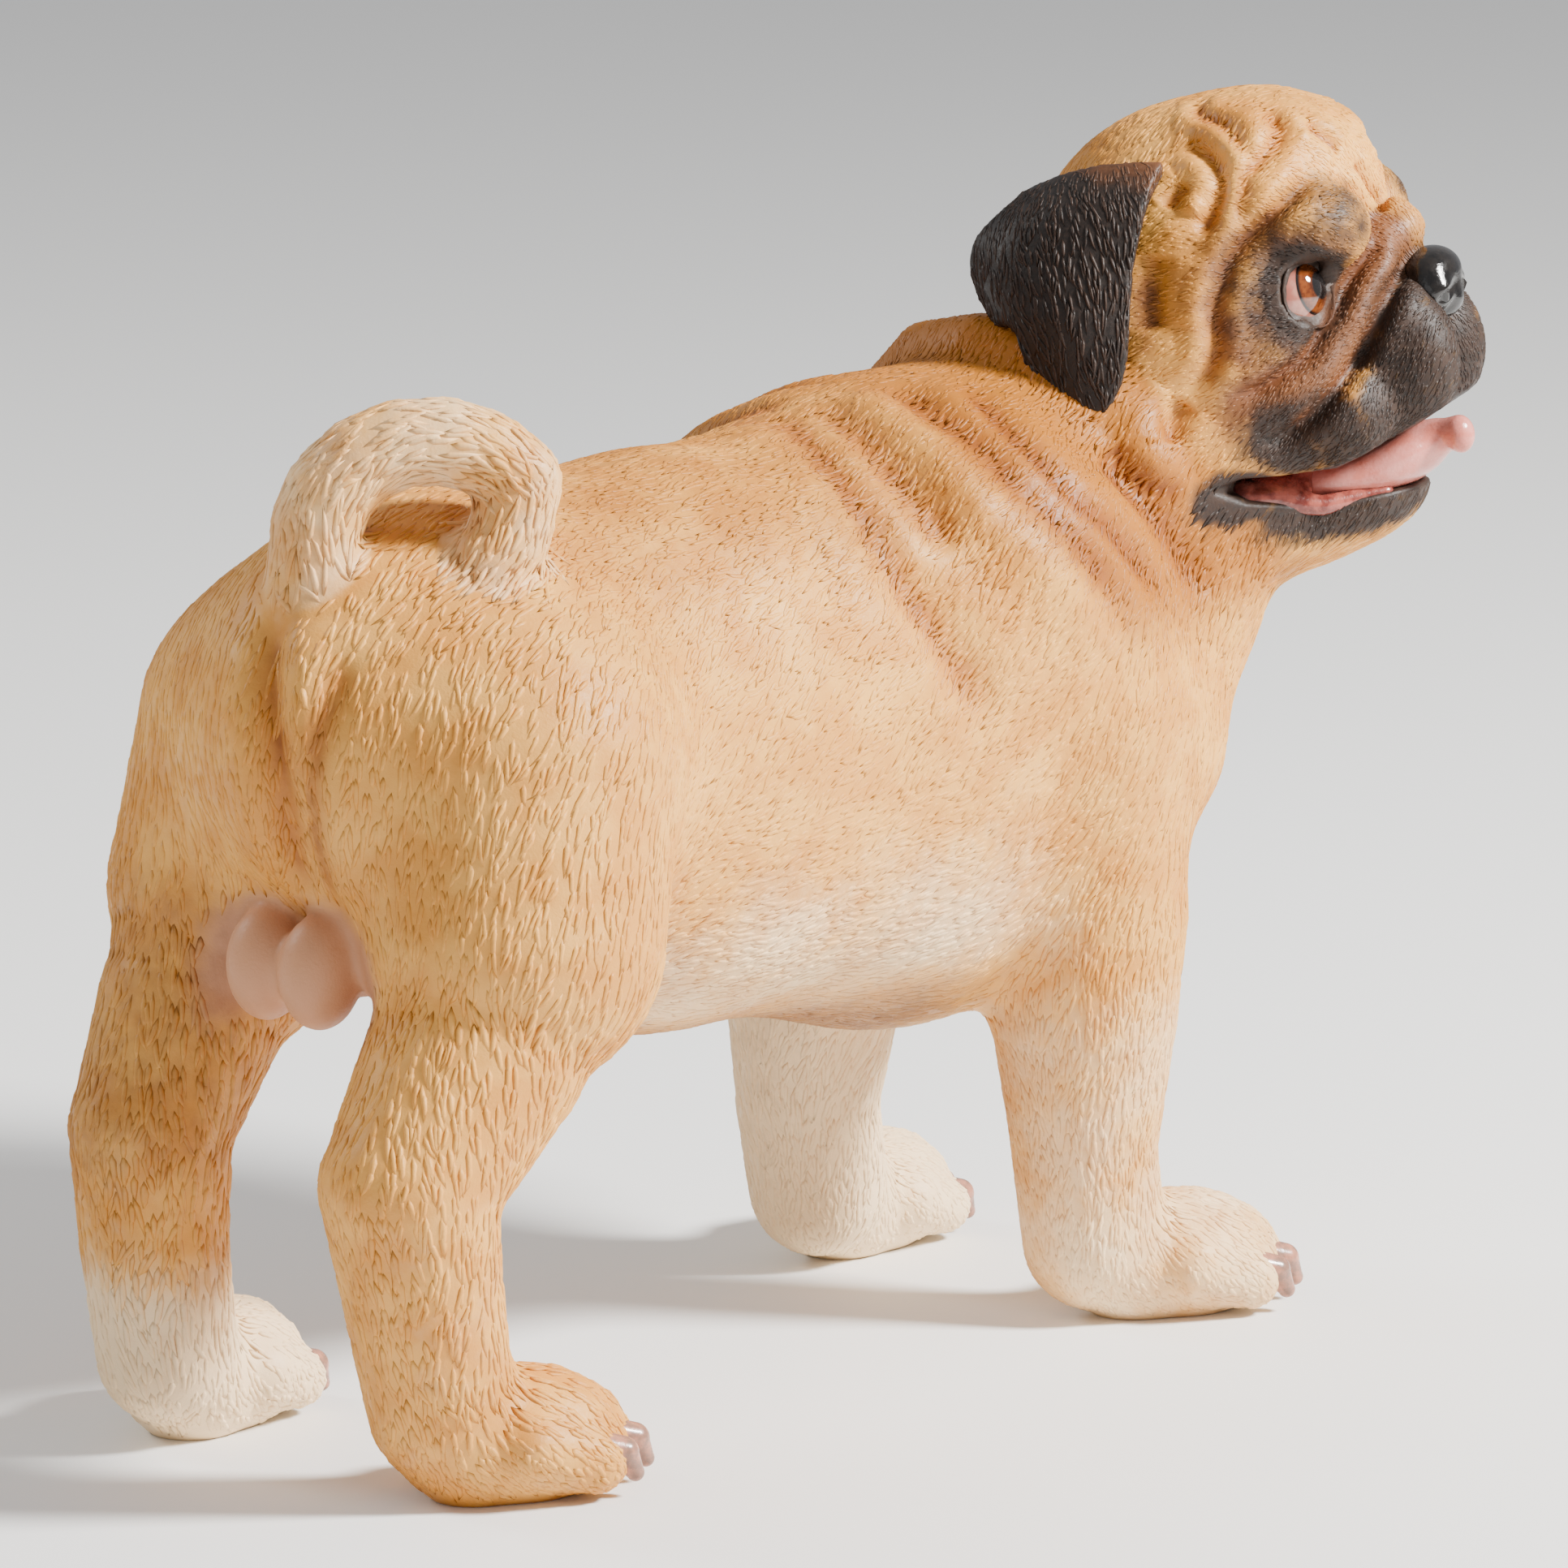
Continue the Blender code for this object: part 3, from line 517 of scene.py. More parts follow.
def leg_forms(flesh, end, side):
    """Upper and lower leg as one bent taper."""
    points, radii = leg_points(end, side)
    flesh.chain(BODY, points, radii, 14 if end == "hind" else 10)
    if end == "hind":
        flesh.ball(BODY, (-104, side * 43, 131), (21, 19, 26), 12)
        flesh.ball(BODY, (-155, side * 43, 77), (11, 10, 12), 8)


def paw_place(end, name, side):
    """Frame of a paw: under the middle of its sole, looking along its toes."""
    reach = HALF_BASE if end == "front" else -HALF_BASE
    track = FORE_TRACK if end == "front" else HIND_TRACK
    return Place((reach, side * track / 2, 0), PAW_HEADING[name])


def paw_forms(flesh, place):
    """Round paw on a flat sole, with four toes."""
    flesh.ball(place, (0, 0, 13.5), (PAW_LENGTH / 2, PAW_WIDTH / 2, 17), 6)
    flesh.ball(place, (-14.5, 0, 13), (12, 15, 15.5), 6)
    for across, forward, _ in TOES:
        knuckle, end = (forward - 12, across, 14), (forward + 4, across, 9.0)
        flesh.bar(place, knuckle, TOE_RADIUS + 1, end, TOE_RADIUS, 3.2)


def toe_grooves(flesh, place):
    """Clefts between the toes, over the paw and down its front."""
    for i in range(3):
        across = (TOES[i][0] + TOES[i + 1][0]) / 2
        reach = (TOES[i][1] + TOES[i + 1][1]) / 2 - 12.5
        path = [(4 + reach, across * 0.8, 31), (13 + reach, across * 0.9, 28.5), (20 + reach, across, 24),
                (25.5 + reach, across, 16), (27 + reach, across, 8), (25 + reach, across, 0)]
        flesh.chain(place, path, [1.2, 1.8, 2.2, 2.4, 2.2, 1.8], 2.5, hollow=True)


def head_forms(flesh):
    """Domed skull, cheeks, short muzzle, lower jaw and throat, with the main folds."""
    flesh.ball(HEAD, (-1, 0, 11), (42, 43, 41.5), 12)
    flesh.ball(HEAD, (-15, 0, 3), (31, 41, 37), 12)
    flesh.ball(HEAD, (17.5, 0, 25), (26, 34, 27.5), 10)
    flesh.ball(HEAD, (0, 0, -32), (36, 36, 28), 16)
    flesh.ball(HEAD, (30, 0, -10), (24, 25, 26), 12)
    flesh.ball(HEAD, (29, 0, -46), (20, 22, 14), 8)
    flesh.ball(HEAD, (22, 0, -52), (22, 20, 12), 8)
    for side in (-1, 1):
        flesh.ball(HEAD, (4, side * 27, -10), (30, 20, 30), 12)
        flesh.ball(HEAD, (-4, side * 26, -34), (26, 18, 18), 12)
        flesh.ball(HEAD, (31.5, side * 22, 19), (14, 14, 10.5), 6, (side * 25, -15, 0))
        flesh.ball(HEAD, (46, side * 12, -17), (18, 13, 20), 6, (side * 15, 0, 0))
        flesh.ball(HEAD, (28, side * 22, -30), (20, 13, 14), 8, (side * 25, 8, 0))
        roll = [(ahead, side * across, rise) for ahead, across, rise in NOSE_ROLL]
        flesh.chain(HEAD, roll, [5.5, 5.5, 6.0, 7.0], 4)
    flesh.ball(HEAD, (51, 0, 0), (8, 10, 9), 4)


def nose_forms(flesh):
    """Broad nose pad with two nostrils."""
    flesh.ball(HEAD, (55.5, 0, 2.5), (7.5, 11, 6.5), 3)
    flesh.ball(HEAD, (57, 0, -4), (6, 6, 5.5), 3)
    for side in (-1, 1):
        flesh.ball(HEAD, (56.5, side * 7, -1.5), (5.8, 5.2, 5.2), 2)
        flesh.bar(HEAD, (64, side * 4.6, -1), 2.0, (60.5, side * 10.5, -4), 1.5, 1.0, hollow=True)
    flesh.bar(HEAD, (64.5, 0, 1), 0.5, (63.5, 0, -9), 0.7, 1.2, hollow=True)


def tongue_forms(flesh):
    """Flat tongue over the lower jaw, hollowed along its middle, with a knob at its tip."""
    flesh.ball(HEAD, (27, 0, -46), (23, 20.5, 7.2), 4, (0, 6, 0))
    flesh.ball(HEAD, (42, 0, -42.5), (14, 16, 6.2), 5, (0, 18, 0))
    flesh.bar(HEAD, (50, -3, -39.5), 5.2, (56.5, -6, -37.5), 3.8, 4)
    flesh.ball(HEAD, (59.5, -7, -38), (3.6, 4.2, 4.8), 1.6)
    flesh.ball(HEAD, (58, -1, -38.5), (3.6, 4.2, 4.2), 2.0)
    flesh.chain(HEAD, [(22, 0, -37.5), (38, 0, -35), (50, -1, -31.5)], [2.4, 2.4, 2.0], 3, hollow=True)


def lining_forms(flesh):
    """Flesh that closes the mouth inside the lips and cheeks."""
    flesh.ball(HEAD, (8, 0, -46), (19, 35, 7.5), 4)
    flesh.ball(HEAD, (22, 0, -40), (18, 18, 4.5), 4)
    for side in (-1, 1):
        gum = [(8, side * 31, -46), (26, side * 23, -50.5), (40, side * 13, -50)]
        flesh.chain(HEAD, gum, [4, 2.6, 2.2], 3)


def eye_spot(side):
    """The middle of an eye, in the head's own axes."""
    return EYE_CENTRE[0], side * EYE_CENTRE[1], EYE_CENTRE[2]


def look_axes(side):
    """Where an eye faces: its axis, then the way to its inner corner, then up."""
    return HEAD.axes @ rotation(side * EYE_OUTWARD, EYE_UPWARD, side * EYE_SLANT)


def lid_forms(flesh):
    """Lids: a shell over each eyeball with an oval opening in it."""
    for side in (-1, 1):
        centre = eye_spot(side)
        flesh.ball(HEAD, centre, (EYE_RADIUS + LID_THICKNESS,) * 3, 5)
        axes = look_axes(side)
        rim = []
        for step in range(RIM_STEPS + 1):
            angle = 2 * math.pi * step / RIM_STEPS
            way = np.zeros(3)
            way[1] = (EYE_OPENING[0] + 1) * math.cos(angle)
            way[2] = (EYE_OPENING[1] + 1) * math.sin(angle)
            way[0] = math.sqrt(max((EYE_RADIUS + 0.5) ** 2 - way @ way, 4.0))
            rim.append(HEAD.axes.T @ (axes @ way) + centre)
        flesh.chain(HEAD, rim, [RIM_RADIUS] * len(rim), 1.0)
        flesh.opening(HEAD, centre, axes, EYE_OPENING, 1.0, 0.6)


def mouth_outline():
    """The open mouth seen from the side, from the corner along the upper lip and back."""
    upper = [MOUTH_CORNER, (11, -40), (20, -41.2), (32, -41.5), (45, -37), (56, -31.5), (80, -24)]
    lower = [(80, -42), (56, -46.5), (46, -49), (32, -49.5), (20, -48), (11, -45.5)]
    return upper + lower


def body_flesh():
    """Every muscle from nose to tail, with the mouth, lids and flat soles."""
    flesh = Flesh(inset=COAT_DEPTH)
    torso_forms(flesh)
    neck_forms(flesh)
    head_forms(flesh)
    for end, name, side in LEGS:
        leg_forms(flesh, end, side)
        paw_forms(flesh, paw_place(end, name, side))
        toe_grooves(flesh, paw_place(end, name, side))
    for side in (-1, 1):
        flesh.ball(BODY, (-143, side * 8.5, 122), (11, 9.5, 14), 5)
    tail_forms(flesh)
    return flesh


def new_object(name, data):
    thing = bpy.data.objects.new(name, data)
    bpy.context.scene.collection.objects.link(thing)
    return thing


def from_drawn(name, drawn):
    """The drawn mesh as mesh data of its own."""
    data = bpy.data.meshes.new(name)
    drawn.to_mesh(data)
    drawn.free()
    return data


def pull(items, field, width=1, kind=float):
    """A named value of every item in a mesh's list, as an array."""
    values = np.empty(len(items) * width, dtype=kind)
    items.foreach_get(field, values)
    return values.reshape(-1, width) if width > 1 else values


def read_points(mesh):
    return pull(mesh.vertices, "co", 3)


def write_points(mesh, points):
    mesh.vertices.foreach_set("co", points.ravel())
    mesh.update()


def face_data(mesh):
    """Corner triangles of the mesh, and a smooth outward direction at each point."""
    mesh.calc_loop_triangles()
    return pull(mesh.loop_triangles, "vertices", 3, np.int64), pull(mesh.vertices, "normal", 3)


def face_ups(mesh, normals):
    """The smooth outward direction at the middle of each face."""
    corners = pull(mesh.loops, "vertex_index", kind=np.int64)
    total = np.add.reduceat(normals[corners], pull(mesh.polygons, "loop_start", kind=np.int64), axis=0)
    return total / (np.linalg.norm(total, axis=1)[:, None] + 1e-9)


def bake(thing):
    """Replace the object's mesh by the one its modifiers make."""
    bpy.context.view_layer.update()
    graph = bpy.context.evaluated_depsgraph_get()
    mesh = bpy.data.meshes.new_from_object(thing.evaluated_get(graph))
    thing.modifiers.clear()
    old = thing.data
    thing.data = mesh
    bpy.data.meshes.remove(old)


def remesh(thing, voxel):
    """Replace the object's mesh by one of even quads round everything in it."""
    even = thing.modifiers.new("even", "REMESH")
    even.mode = "VOXEL"
    even.voxel_size = voxel * MM
    bake(thing)


def relax(points, edges, share):
    """Move each point part of the way to the mean of its neighbours."""
    ends = np.concatenate([edges[:, 0], edges[:, 1]])
    others = np.concatenate([edges[:, 1], edges[:, 0]])
    count = np.bincount(ends, minlength=len(points))
    total = [np.bincount(ends, weights=points[others, axis], minlength=len(points)) for axis in range(3)]
    return points + share * (np.stack(total, 1) / count[:, None] - points)


def settle(flesh, points, reach):
    """Move each point onto the blended surface, by no more than reach."""
    slope = flesh.slope(points)
    steep = np.maximum((slope ** 2).sum(1), LEAST_STEEPNESS)
    step = np.clip(flesh.depth(points) / steep, -reach, reach)
    return points - slope * step[:, None]


def fit(thing, flesh, reach, rounds, share=0.4):
    """Draw the object's mesh onto the blended surface, evened out between the rounds."""
    points = read_points(thing.data) / MM
    edges = pull(thing.data.edges, "vertices", 2, np.int64)
    for _ in range(rounds):
        points = relax(settle(flesh, points, reach), edges, share)
    points = settle(flesh, points, reach)
    write_points(thing.data, points * MM)


def rough_mesh(flesh):
    """Spheres and tapered hulls of every muscle in one mesh, in metres."""
    mesh = bmesh.new()
    for kind, where, size, axes, _, hollow, _, _ in flesh.forms:
        if hollow:
            continue
        if kind == "ball":
            shape = Matrix.Translation(Vector(where)) @ Matrix(axes).to_4x4()
            shape @= Matrix.Diagonal((*size, 1.0))
            bmesh.ops.create_icosphere(mesh, subdivisions=3, radius=1.0, matrix=shape)
            continue
        for centre, radius in zip(where, size):
            bmesh.ops.create_icosphere(mesh, subdivisions=3, radius=radius,
                                       matrix=Matrix.Translation(Vector(centre)))
        for i in range(len(where) - 1):
            along = Vector(where[i + 1] - where[i])
            turn = along.to_track_quat("Z", "Y").to_matrix().to_4x4()
            centre = Vector((where[i] + where[i + 1]) / 2)
            bmesh.ops.create_cone(mesh, cap_ends=True, segments=24, radius1=size[i], radius2=size[i + 1],
                                  depth=along.length, matrix=Matrix.Translation(centre) @ turn)
    bmesh.ops.scale(mesh, vec=(MM, MM, MM), verts=mesh.verts)
    return from_drawn("rough", mesh)


def prism(name, outline, half_width):
    """A solid of the outline seen from the side of the head, from side to side."""
    mesh = bmesh.new()
    rings = []
    for across in (-half_width, half_width):
        rings.append([mesh.verts.new(Vector(HEAD.point((x, across, z)) * MM)) for x, z in outline])
    count = len(outline)
    for i in range(count):
        j = (i + 1) % count
        mesh.faces.new((rings[0][i], rings[0][j], rings[1][j], rings[1][i]))
    mesh.faces.new(rings[0][::-1])
    mesh.faces.new(rings[1])
    bmesh.ops.recalc_face_normals(mesh, faces=mesh.faces)
    return new_object(name, from_drawn(name, mesh))


def subtract(thing, cutter):
    """Cut the cutter's shape from the object, and remove the cutter."""
    cut = thing.modifiers.new("cut", "BOOLEAN")
    cut.operation = "DIFFERENCE"
    cut.solver = "MANIFOLD"
    cut.object = cutter
    bake(thing)
    bpy.data.objects.remove(cutter)


def refine(thing, chosen):
    """Split each chosen face in four."""
    mesh = bmesh.new()
    mesh.from_mesh(thing.data)
    mesh.faces.ensure_lookup_table()
    edges = {edge for index in np.nonzero(chosen)[0] for edge in mesh.faces[index].edges}
    bmesh.ops.subdivide_edges(mesh, edges=list(edges), cuts=1, use_grid_fill=True)
    mesh.to_mesh(thing.data)
    mesh.free()


def view_axes():
    """The camera's right, up and ahead, as directions in the body's own axes."""
    turn = math.radians(VIEW_TURN)
    rise = math.radians(VIEW_RISE)
    right = np.array([math.cos(turn), -math.sin(turn), 0.0])
    level = np.array([math.sin(turn), math.cos(turn), 0.0])
    up = level * math.sin(rise) + np.array([0, 0, math.cos(rise)])
    ahead = level * math.cos(rise) - np.array([0, 0, math.sin(rise)])
    return right, up, ahead


def view_point():
    """Where the camera stands."""
    right, up, ahead = view_axes()
    return right * AIM_RIGHT + up * AIM_UP - ahead * VIEW_DISTANCE


def skin_tree(thing):
    """The object's surface, for looking up places on it."""
    bpy.context.view_layer.update()
    return BVHTree.FromObject(thing, bpy.context.evaluated_depsgraph_get())


def seen_spot(tree, pixel):
    """Where the line of sight through a pixel of the photograph meets the skin, or None."""
    right, up, ahead = view_axes()
    across = (pixel[0] - PHOTO_SIZE / 2) / PHOTO_SIZE * SENSOR
    down = (pixel[1] - PHOTO_SIZE / 2) / PHOTO_SIZE * SENSOR
    sight = ahead * LENS + right * across - up * down
    sight /= np.linalg.norm(sight)
    spot = tree.ray_cast(Vector(view_point() * MM), Vector(sight))[0]
    return None if spot is None else np.array(spot) / MM


def laid_on(tree, points):
    """The points moved to the nearest places on the surface."""
    return np.array([tree.find_nearest(Vector(point * MM))[0] for point in points]) / MM


def fold_lines(tree):
    """Each fold as a smooth line on the skin, with its width, depth and rise; the face's and neck's folds on
    both sides.
    """
    lines = []
    for place, share, folds in ((HEAD, 0.9, FACE_FOLDS), (BODY, 0.55, NECK_FOLDS), (BODY, 0.0, RUMP_FOLDS)):
        for width, depth, rise, pixels in folds:
            spots = [seen_spot(tree, pixel) for pixel in pixels]
            spots = [spot for spot in spots if spot is not None]
            if len(spots) < 2:
                continue
            steps = 6 * (len(spots) - 1)
            line = np.array([curve(spots, step / steps) for step in range(steps + 1)])
            lines.append((laid_on(tree, line), width, depth, rise))
            if share > 0:
                lines.append((laid_on(tree, mirrored(place, line)), width, depth * share, rise * share))
    return lines


def press_folds(points, lines):
    """How far the folds move each point in or out, and how deep in a fold it lies."""
    move = np.zeros(len(points))
    hollow = np.zeros(len(points))
    for line, width, depth, rise in lines:
        middle = (line.min(0) + line.max(0)) / 2
        reach = np.linalg.norm(line - middle, axis=1).max() + 6 * width
        near = np.nonzero(((points - middle) ** 2).sum(1) < reach ** 2)[0]
        if len(near) == 0:
            continue
        away, along = trace(points[near], line)
        ends = fade(along, 0.0, 0.16) * (1 - fade(along, 0.84, 1.0))
        groove = np.exp(-(away / width) ** 2) * ends
        bank = np.exp(-((away - 2.3 * width) / (1.4 * width)) ** 2) * ends
        move[near] += rise * bank - depth * groove
        hollow[near] = np.maximum(hollow[near], groove * min(1.0, depth / 1.2))
    return move, hollow


def raise_lumps(points, lumps):
    """How far the lumps of the face lift each point, alike on both sides."""
    lift = np.zeros(len(points))
    for where, size, rise in lumps:
        for middle in (where, mirrored(HEAD, where[None])[0]):
            lift += rise * np.exp(-((points - middle) ** 2).sum(1) / size ** 2)
    return np.minimum(lift, MOST_LUMP)


def clear_eyes(points):
    """Press the skin inside each eye's opening behind the eyeball's surface."""
    points = points.copy()
    for side in (-1, 1):
        centre = HEAD.point(eye_spot(side))
        local = (points - centre) @ look_axes(side)
        away = np.linalg.norm(local, axis=1)
        share = fade(-oval(local, EYE_OPENING), -0.2, 0.7) * (local[:, 0] > 0) * (away < EYE_REACH)
        points += (points - centre) * (share * ((EYE_RADIUS - EYE_FLOOR) / away - 1))[:, None]
    return points


def make_skin():
    """The skin as one mesh, finer on the face."""
    flesh = body_flesh()
    thing = new_object("skin", rough_mesh(flesh))
    remesh(thing, SKIN_VOXEL)
    fit(thing, flesh, SKIN_VOXEL, 2)
    subtract(thing, prism("mouth", mouth_outline(), MOUTH_HALF_WIDTH))
    remesh(thing, SKIN_VOXEL)
    flesh.wedge(HEAD, mouth_outline(), MOUTH_HALF_WIDTH, 2.5)
    lid_forms(flesh)
    fit(thing, flesh, SKIN_VOXEL, 2)
    middles = pull(thing.data.polygons, "center", 3) / MM
    local = HEAD.local(middles)
    refine(thing, ((local[:, 0] > FACE_BACK) & (local[:, 2] > CHIN_FLOOR)) | (middles[:, 2] < PAW_TOP))
    fit(thing, flesh, 1.0, 2)
    tree = skin_tree(thing)
    lines = fold_lines(tree)
    lumps = []
    for pixel, size, rise in FACE_LUMPS:
        where = seen_spot(tree, pixel)
        if where is not None:
            lumps.append((where, size, rise))
    points = read_points(thing.data) / MM
    _, normals = face_data(thing.data)
    move, hollow = press_folds(points, lines)
    points += normals * (move + raise_lumps(points, lumps))[:, None]
    points = clear_eyes(points)
    points[:, 2] = np.maximum(points[:, 2], 0.0)
    write_points(thing.data, points * MM)
    paint = markings(points, hollow)
    paint["ridge"] = np.full(len(points), 0.9)
    paint["tone"] = ripple(points, 6, 8)
    write_paint(thing.data, paint)
    return thing, lines


def spot(points, place, centre, radii, soft=0.5, turn=(0, 0, 0)):
    """1 inside an oval patch, falling to 0 over its soft edge."""
    local = (points - place.point(centre)) @ (place.axes @ rotation(*turn)) / np.array(radii, float)
    return 1.0 - fade(np.linalg.norm(local, axis=1), 1.0 - soft / 2, 1.0 + soft / 2)


def both(points, place, centre, radii, soft=0.5, turn=(0, 0, 0)):
    """The same patch on either side."""
    left = spot(points, place, centre, radii, soft, turn)
    centre = (centre[0], -centre[1], centre[2])
    return np.maximum(left, spot(points, place, centre, radii, soft, (-turn[0], turn[1], -turn[2])))


def ripple(points, size, seed):
    """Smooth irregular values from -1 to 1 over lengths of about size."""
    chance = np.random.default_rng(seed)
    total = np.zeros(len(points))
    for _ in range(7):
        way = chance.normal(size=3)
        way /= np.linalg.norm(way)
        pace = 2 * math.pi / (size * chance.uniform(0.7, 1.5))
        total += np.sin(points @ way * pace + chance.uniform(0, 6.3))
    return total / 4.0


def head_share(points):
    """1 on the head and 0 on the body."""
    local = HEAD.local(points)
    return 1.0 - fade(np.linalg.norm((local - (8, 0, -8)) / (62, 56, 62), axis=1), 0.85, 1.05)


def tail_share(points):
    """1 on the tail and 0 elsewhere."""
    away, along = trace(points, np.array(tail_points()))
    return (1.0 - fade(away, 12.0, 14.5)) * fade(along, 0.03, 0.12)


def inner_mouth(points, local):
    """1 on the flesh inside the open mouth, behind its dark lips."""
    share = np.zeros(len(points))
    near = np.nonzero((np.linalg.norm(local - (34, 0, -44), axis=1) < 36)
                      & (outline_distance(local[:, [0, 2]], mouth_outline()) < 1.5))[0]
    if len(near):
        shell = Flesh()
        head_forms(shell)
        share[near] = fade(-shell.depth(points[near]), 3.0, 6.0)
    return share


def roll_share(local):
    """1 along the tan roll of skin over the muzzle, from nose to cheek."""
    local = local.copy()
    local[:, 1] = abs(local[:, 1])
    away, along = trace(local, np.array(NOSE_ROLL, float))
    return (1 - fade(away, 7.0, 10.5)) * (0.35 + 0.65 * fade(along, 0.02, 0.2))


def markings(points, hollow):
    """The paint: how much of each colour lies over the fawn at each point, with painted shade under the belly
    and on the left hind leg.
    """
    local = HEAD.local(points)
    head = head_share(points)
    tail = tail_share(points)
    wave = ripple(points, 26, 3)
    fine = ripple(points, 8, 4)
    body = 1 - head
    x, y, z = points.T
    paint = {}
    back = fade(z, 165, 225) * fade(x, -150, -60) * body
    patch = {name: both(points, *form) for name, form in PATCHES.items()}
    neck = patch["neck"] * body
    paint["warm"] = np.clip(0.62 * back + 0.85 * neck * fade(z, 135, 190) + 0.14 * wave, 0, 1)
    paint["rust"] = np.clip(hollow ** 2 * (0.42 + 0.2 * fine) + 0.30 * neck * fade(z, 190, 240), 0, 1)
    low = 1 - fade(z, 100, 158)
    legs = 1 - fade(z, 70, 105)
    paws = 1 - fade(z, 22, 44)
    belly = low * fade(x, -100, -55) * (1 - fade(x, 42, 92))
    inner = fade(y, 0, 40)
    front = fade(x, -20, 20)
    far_legs = inner * np.where(x > 0, legs, 1 - fade(z, 26, 62))
    # Painted shade: the underside of the belly is painted browner and less pale, as if in shadow.
    under = belly * (1 - fade(z, 82, 104))
    # Painted shade: the left hind leg, mostly its inner side, is painted browner from hock to thigh, as if in
    # shadow.
    shaded = (1 - fade(x, -100, -70)) * fade(y, 6, 26) * (1 - fade(y, 56, 74))
    shaded *= fade(z, 50, 80) * (1 - fade(z, 125, 165))
    # Less pale under the belly: painted shade.
    paint["pale"] = np.clip(0.66 * belly - 0.6 * under + 0.45 * patch["chest"]
                            + front * (0.35 * legs + 0.15 * paws) + 0.10 * legs + far_legs
                            + 0.42 * tail + 0.12 * wave, 0, 1)
    rear = fade(-x, 105, 150) * (1 - fade(z, 150, 200)) * body
    paint["pink"] = np.clip(patch["seat"] + 0.12 * rear + 0.06 * legs, 0, 1) * (1 - tail)
    dark = np.maximum.reduce([patch[name] * share for name, share in DARKNESS.items()])
    roll = roll_share(local)
    paint["dark"] = np.clip(dark * (1 - 0.42 * roll) + 0.10 * fine * dark, 0, 1)
    cheek = np.maximum(patch["cheek"], patch["temple"])
    disc, wide = patch["disc"], patch["wide"]
    paint["brown"] = np.clip(0.66 * disc + 0.70 * cheek + wide * roll + 0.2 * wide + 0.5 * patch["brow"]
                             + 0.15 * fine * disc, 0, 1) * head
    # Brown also carries painted shade: under the belly and on the left hind leg.
    paint["brown"] += (0.7 * under + 0.45 * shaded + 0.16 * paws * (1 - front) * (1 - inner)) * body
    paint["wash"] = np.clip(hollow, 0, 1)
    paint["gloss"] = np.clip(dark, 0, 1)
    paint["inner"] = inner_mouth(points, local)
    return paint


def write_paint(mesh, paint):
    """Keep each share of paint as a value at the mesh's points."""
    for key, value in paint.items():
        layer = mesh.attributes.new(key, "FLOAT", "POINT")
        layer.data.foreach_set("value", np.ascontiguousarray(value, dtype=np.float32))


def level_out(ways, normals):
    """The directions laid flat along the skin, at unit length."""
    ways = ways - (ways * normals).sum(1)[:, None] * normals
    return ways / (np.linalg.norm(ways, axis=1)[:, None] + 1e-9)


def turned(ways, normals, angle):
    """The directions turned about the skin's outward direction."""
    return ways * np.cos(angle)[:, None] + np.cross(normals, ways) * np.sin(angle)[:, None]


def lie(points, normals, chance):
    """Which way the coat lies at each point, along the skin."""
    flow = np.zeros_like(points)
    total = np.full(len(points), 1e-6)
    for centre, reach, way in COMBS:
        for side in (-1, 1):
            where = np.array((centre[0], side * centre[1], centre[2]), float)
            near = np.exp(-((points - where) ** 2).sum(1) / (2 * reach ** 2))
            flow += near[:, None] * np.array((way[0], side * way[1], way[2]), float)
            total += near
    flow /= total[:, None]
    for end, name, side in LEGS:
        place = paw_place(end, name, side)
        near = spot(points, place, (4, 0, 8), (34, 27, 26), 0.6)[:, None]
        flow = flow * (1 - near) + near * (place.axes @ np.array((0.75, 0, -0.65)))
    local = HEAD.local(points)
    spread = local - np.array(FACE_PARTING, float)
    spread /= np.linalg.norm(spread, axis=1)[:, None]
    low = fade(-local[:, 2], 5, 40)
    spread[:, 2] -= 0.35 * low
    head = head_share(points)[:, None]
    flow = flow * (1 - head) + head * (spread @ HEAD.axes.T)
    line = np.array(tail_points())
    _, along = trace(points, line)
    place = np.clip((along * (len(line) - 1)).astype(int), 0, len(line) - 2)
    along_tail = line[place + 1] - line[place]
    along_tail /= np.linalg.norm(along_tail, axis=1)[:, None]
    tail = tail_share(points)[:, None]
    flow = flow * (1 - tail) + tail * along_tail
    return level_out(turned(level_out(flow, normals), normals,
                            0.20 * ripple(points, 17, 11) + chance.normal(0, 0.11, len(points))), normals)


def scatter(points, triangles, wanted, chance):
    """Spots spread over the mesh, about one to each square of the wanted spacing there."""
    corners = points[triangles]
    area = np.linalg.norm(np.cross(corners[:, 1] - corners[:, 0], corners[:, 2] - corners[:, 0]), axis=1) / 2
    spacing = wanted(corners.mean(1))
    expected = area / spacing ** 2 * CROWDING
    expected[spacing == NO_TUFTS] = 0
    count = chance.poisson(expected)
    face = np.repeat(np.arange(len(triangles)), count)
    a = chance.random(len(face))
    b = chance.random(len(face))
    flip = a + b > 1
    a[flip] = 1 - a[flip]
    b[flip] = 1 - b[flip]
    found = corners[face, 0] + a[:, None] * (corners[face, 1] - corners[face, 0])
    found += b[:, None] * (corners[face, 2] - corners[face, 0])
    space = spacing[face]
    band = np.round(np.log2(space) * 2)
    size = 2 ** (band / 2)
    key = np.floor(found / (size * CELL)[:, None]).astype(np.int64)
    key = np.column_stack([key, band.astype(np.int64)])
    _, first = np.unique(key, axis=0, return_index=True)
    return found[np.sort(first)]


def nearest(tree, normals, spots):
    """The nearest places on the mesh, in millimetres, with the outward directions there."""
    found = np.empty_like(spots)
    ways = np.empty_like(spots)
    for i, spot_mm in enumerate(spots * MM):
        place, _, index, _ = tree.find_nearest(spot_mm)
        found[i] = place
        ways[i] = normals[index]
    return found / MM, ways


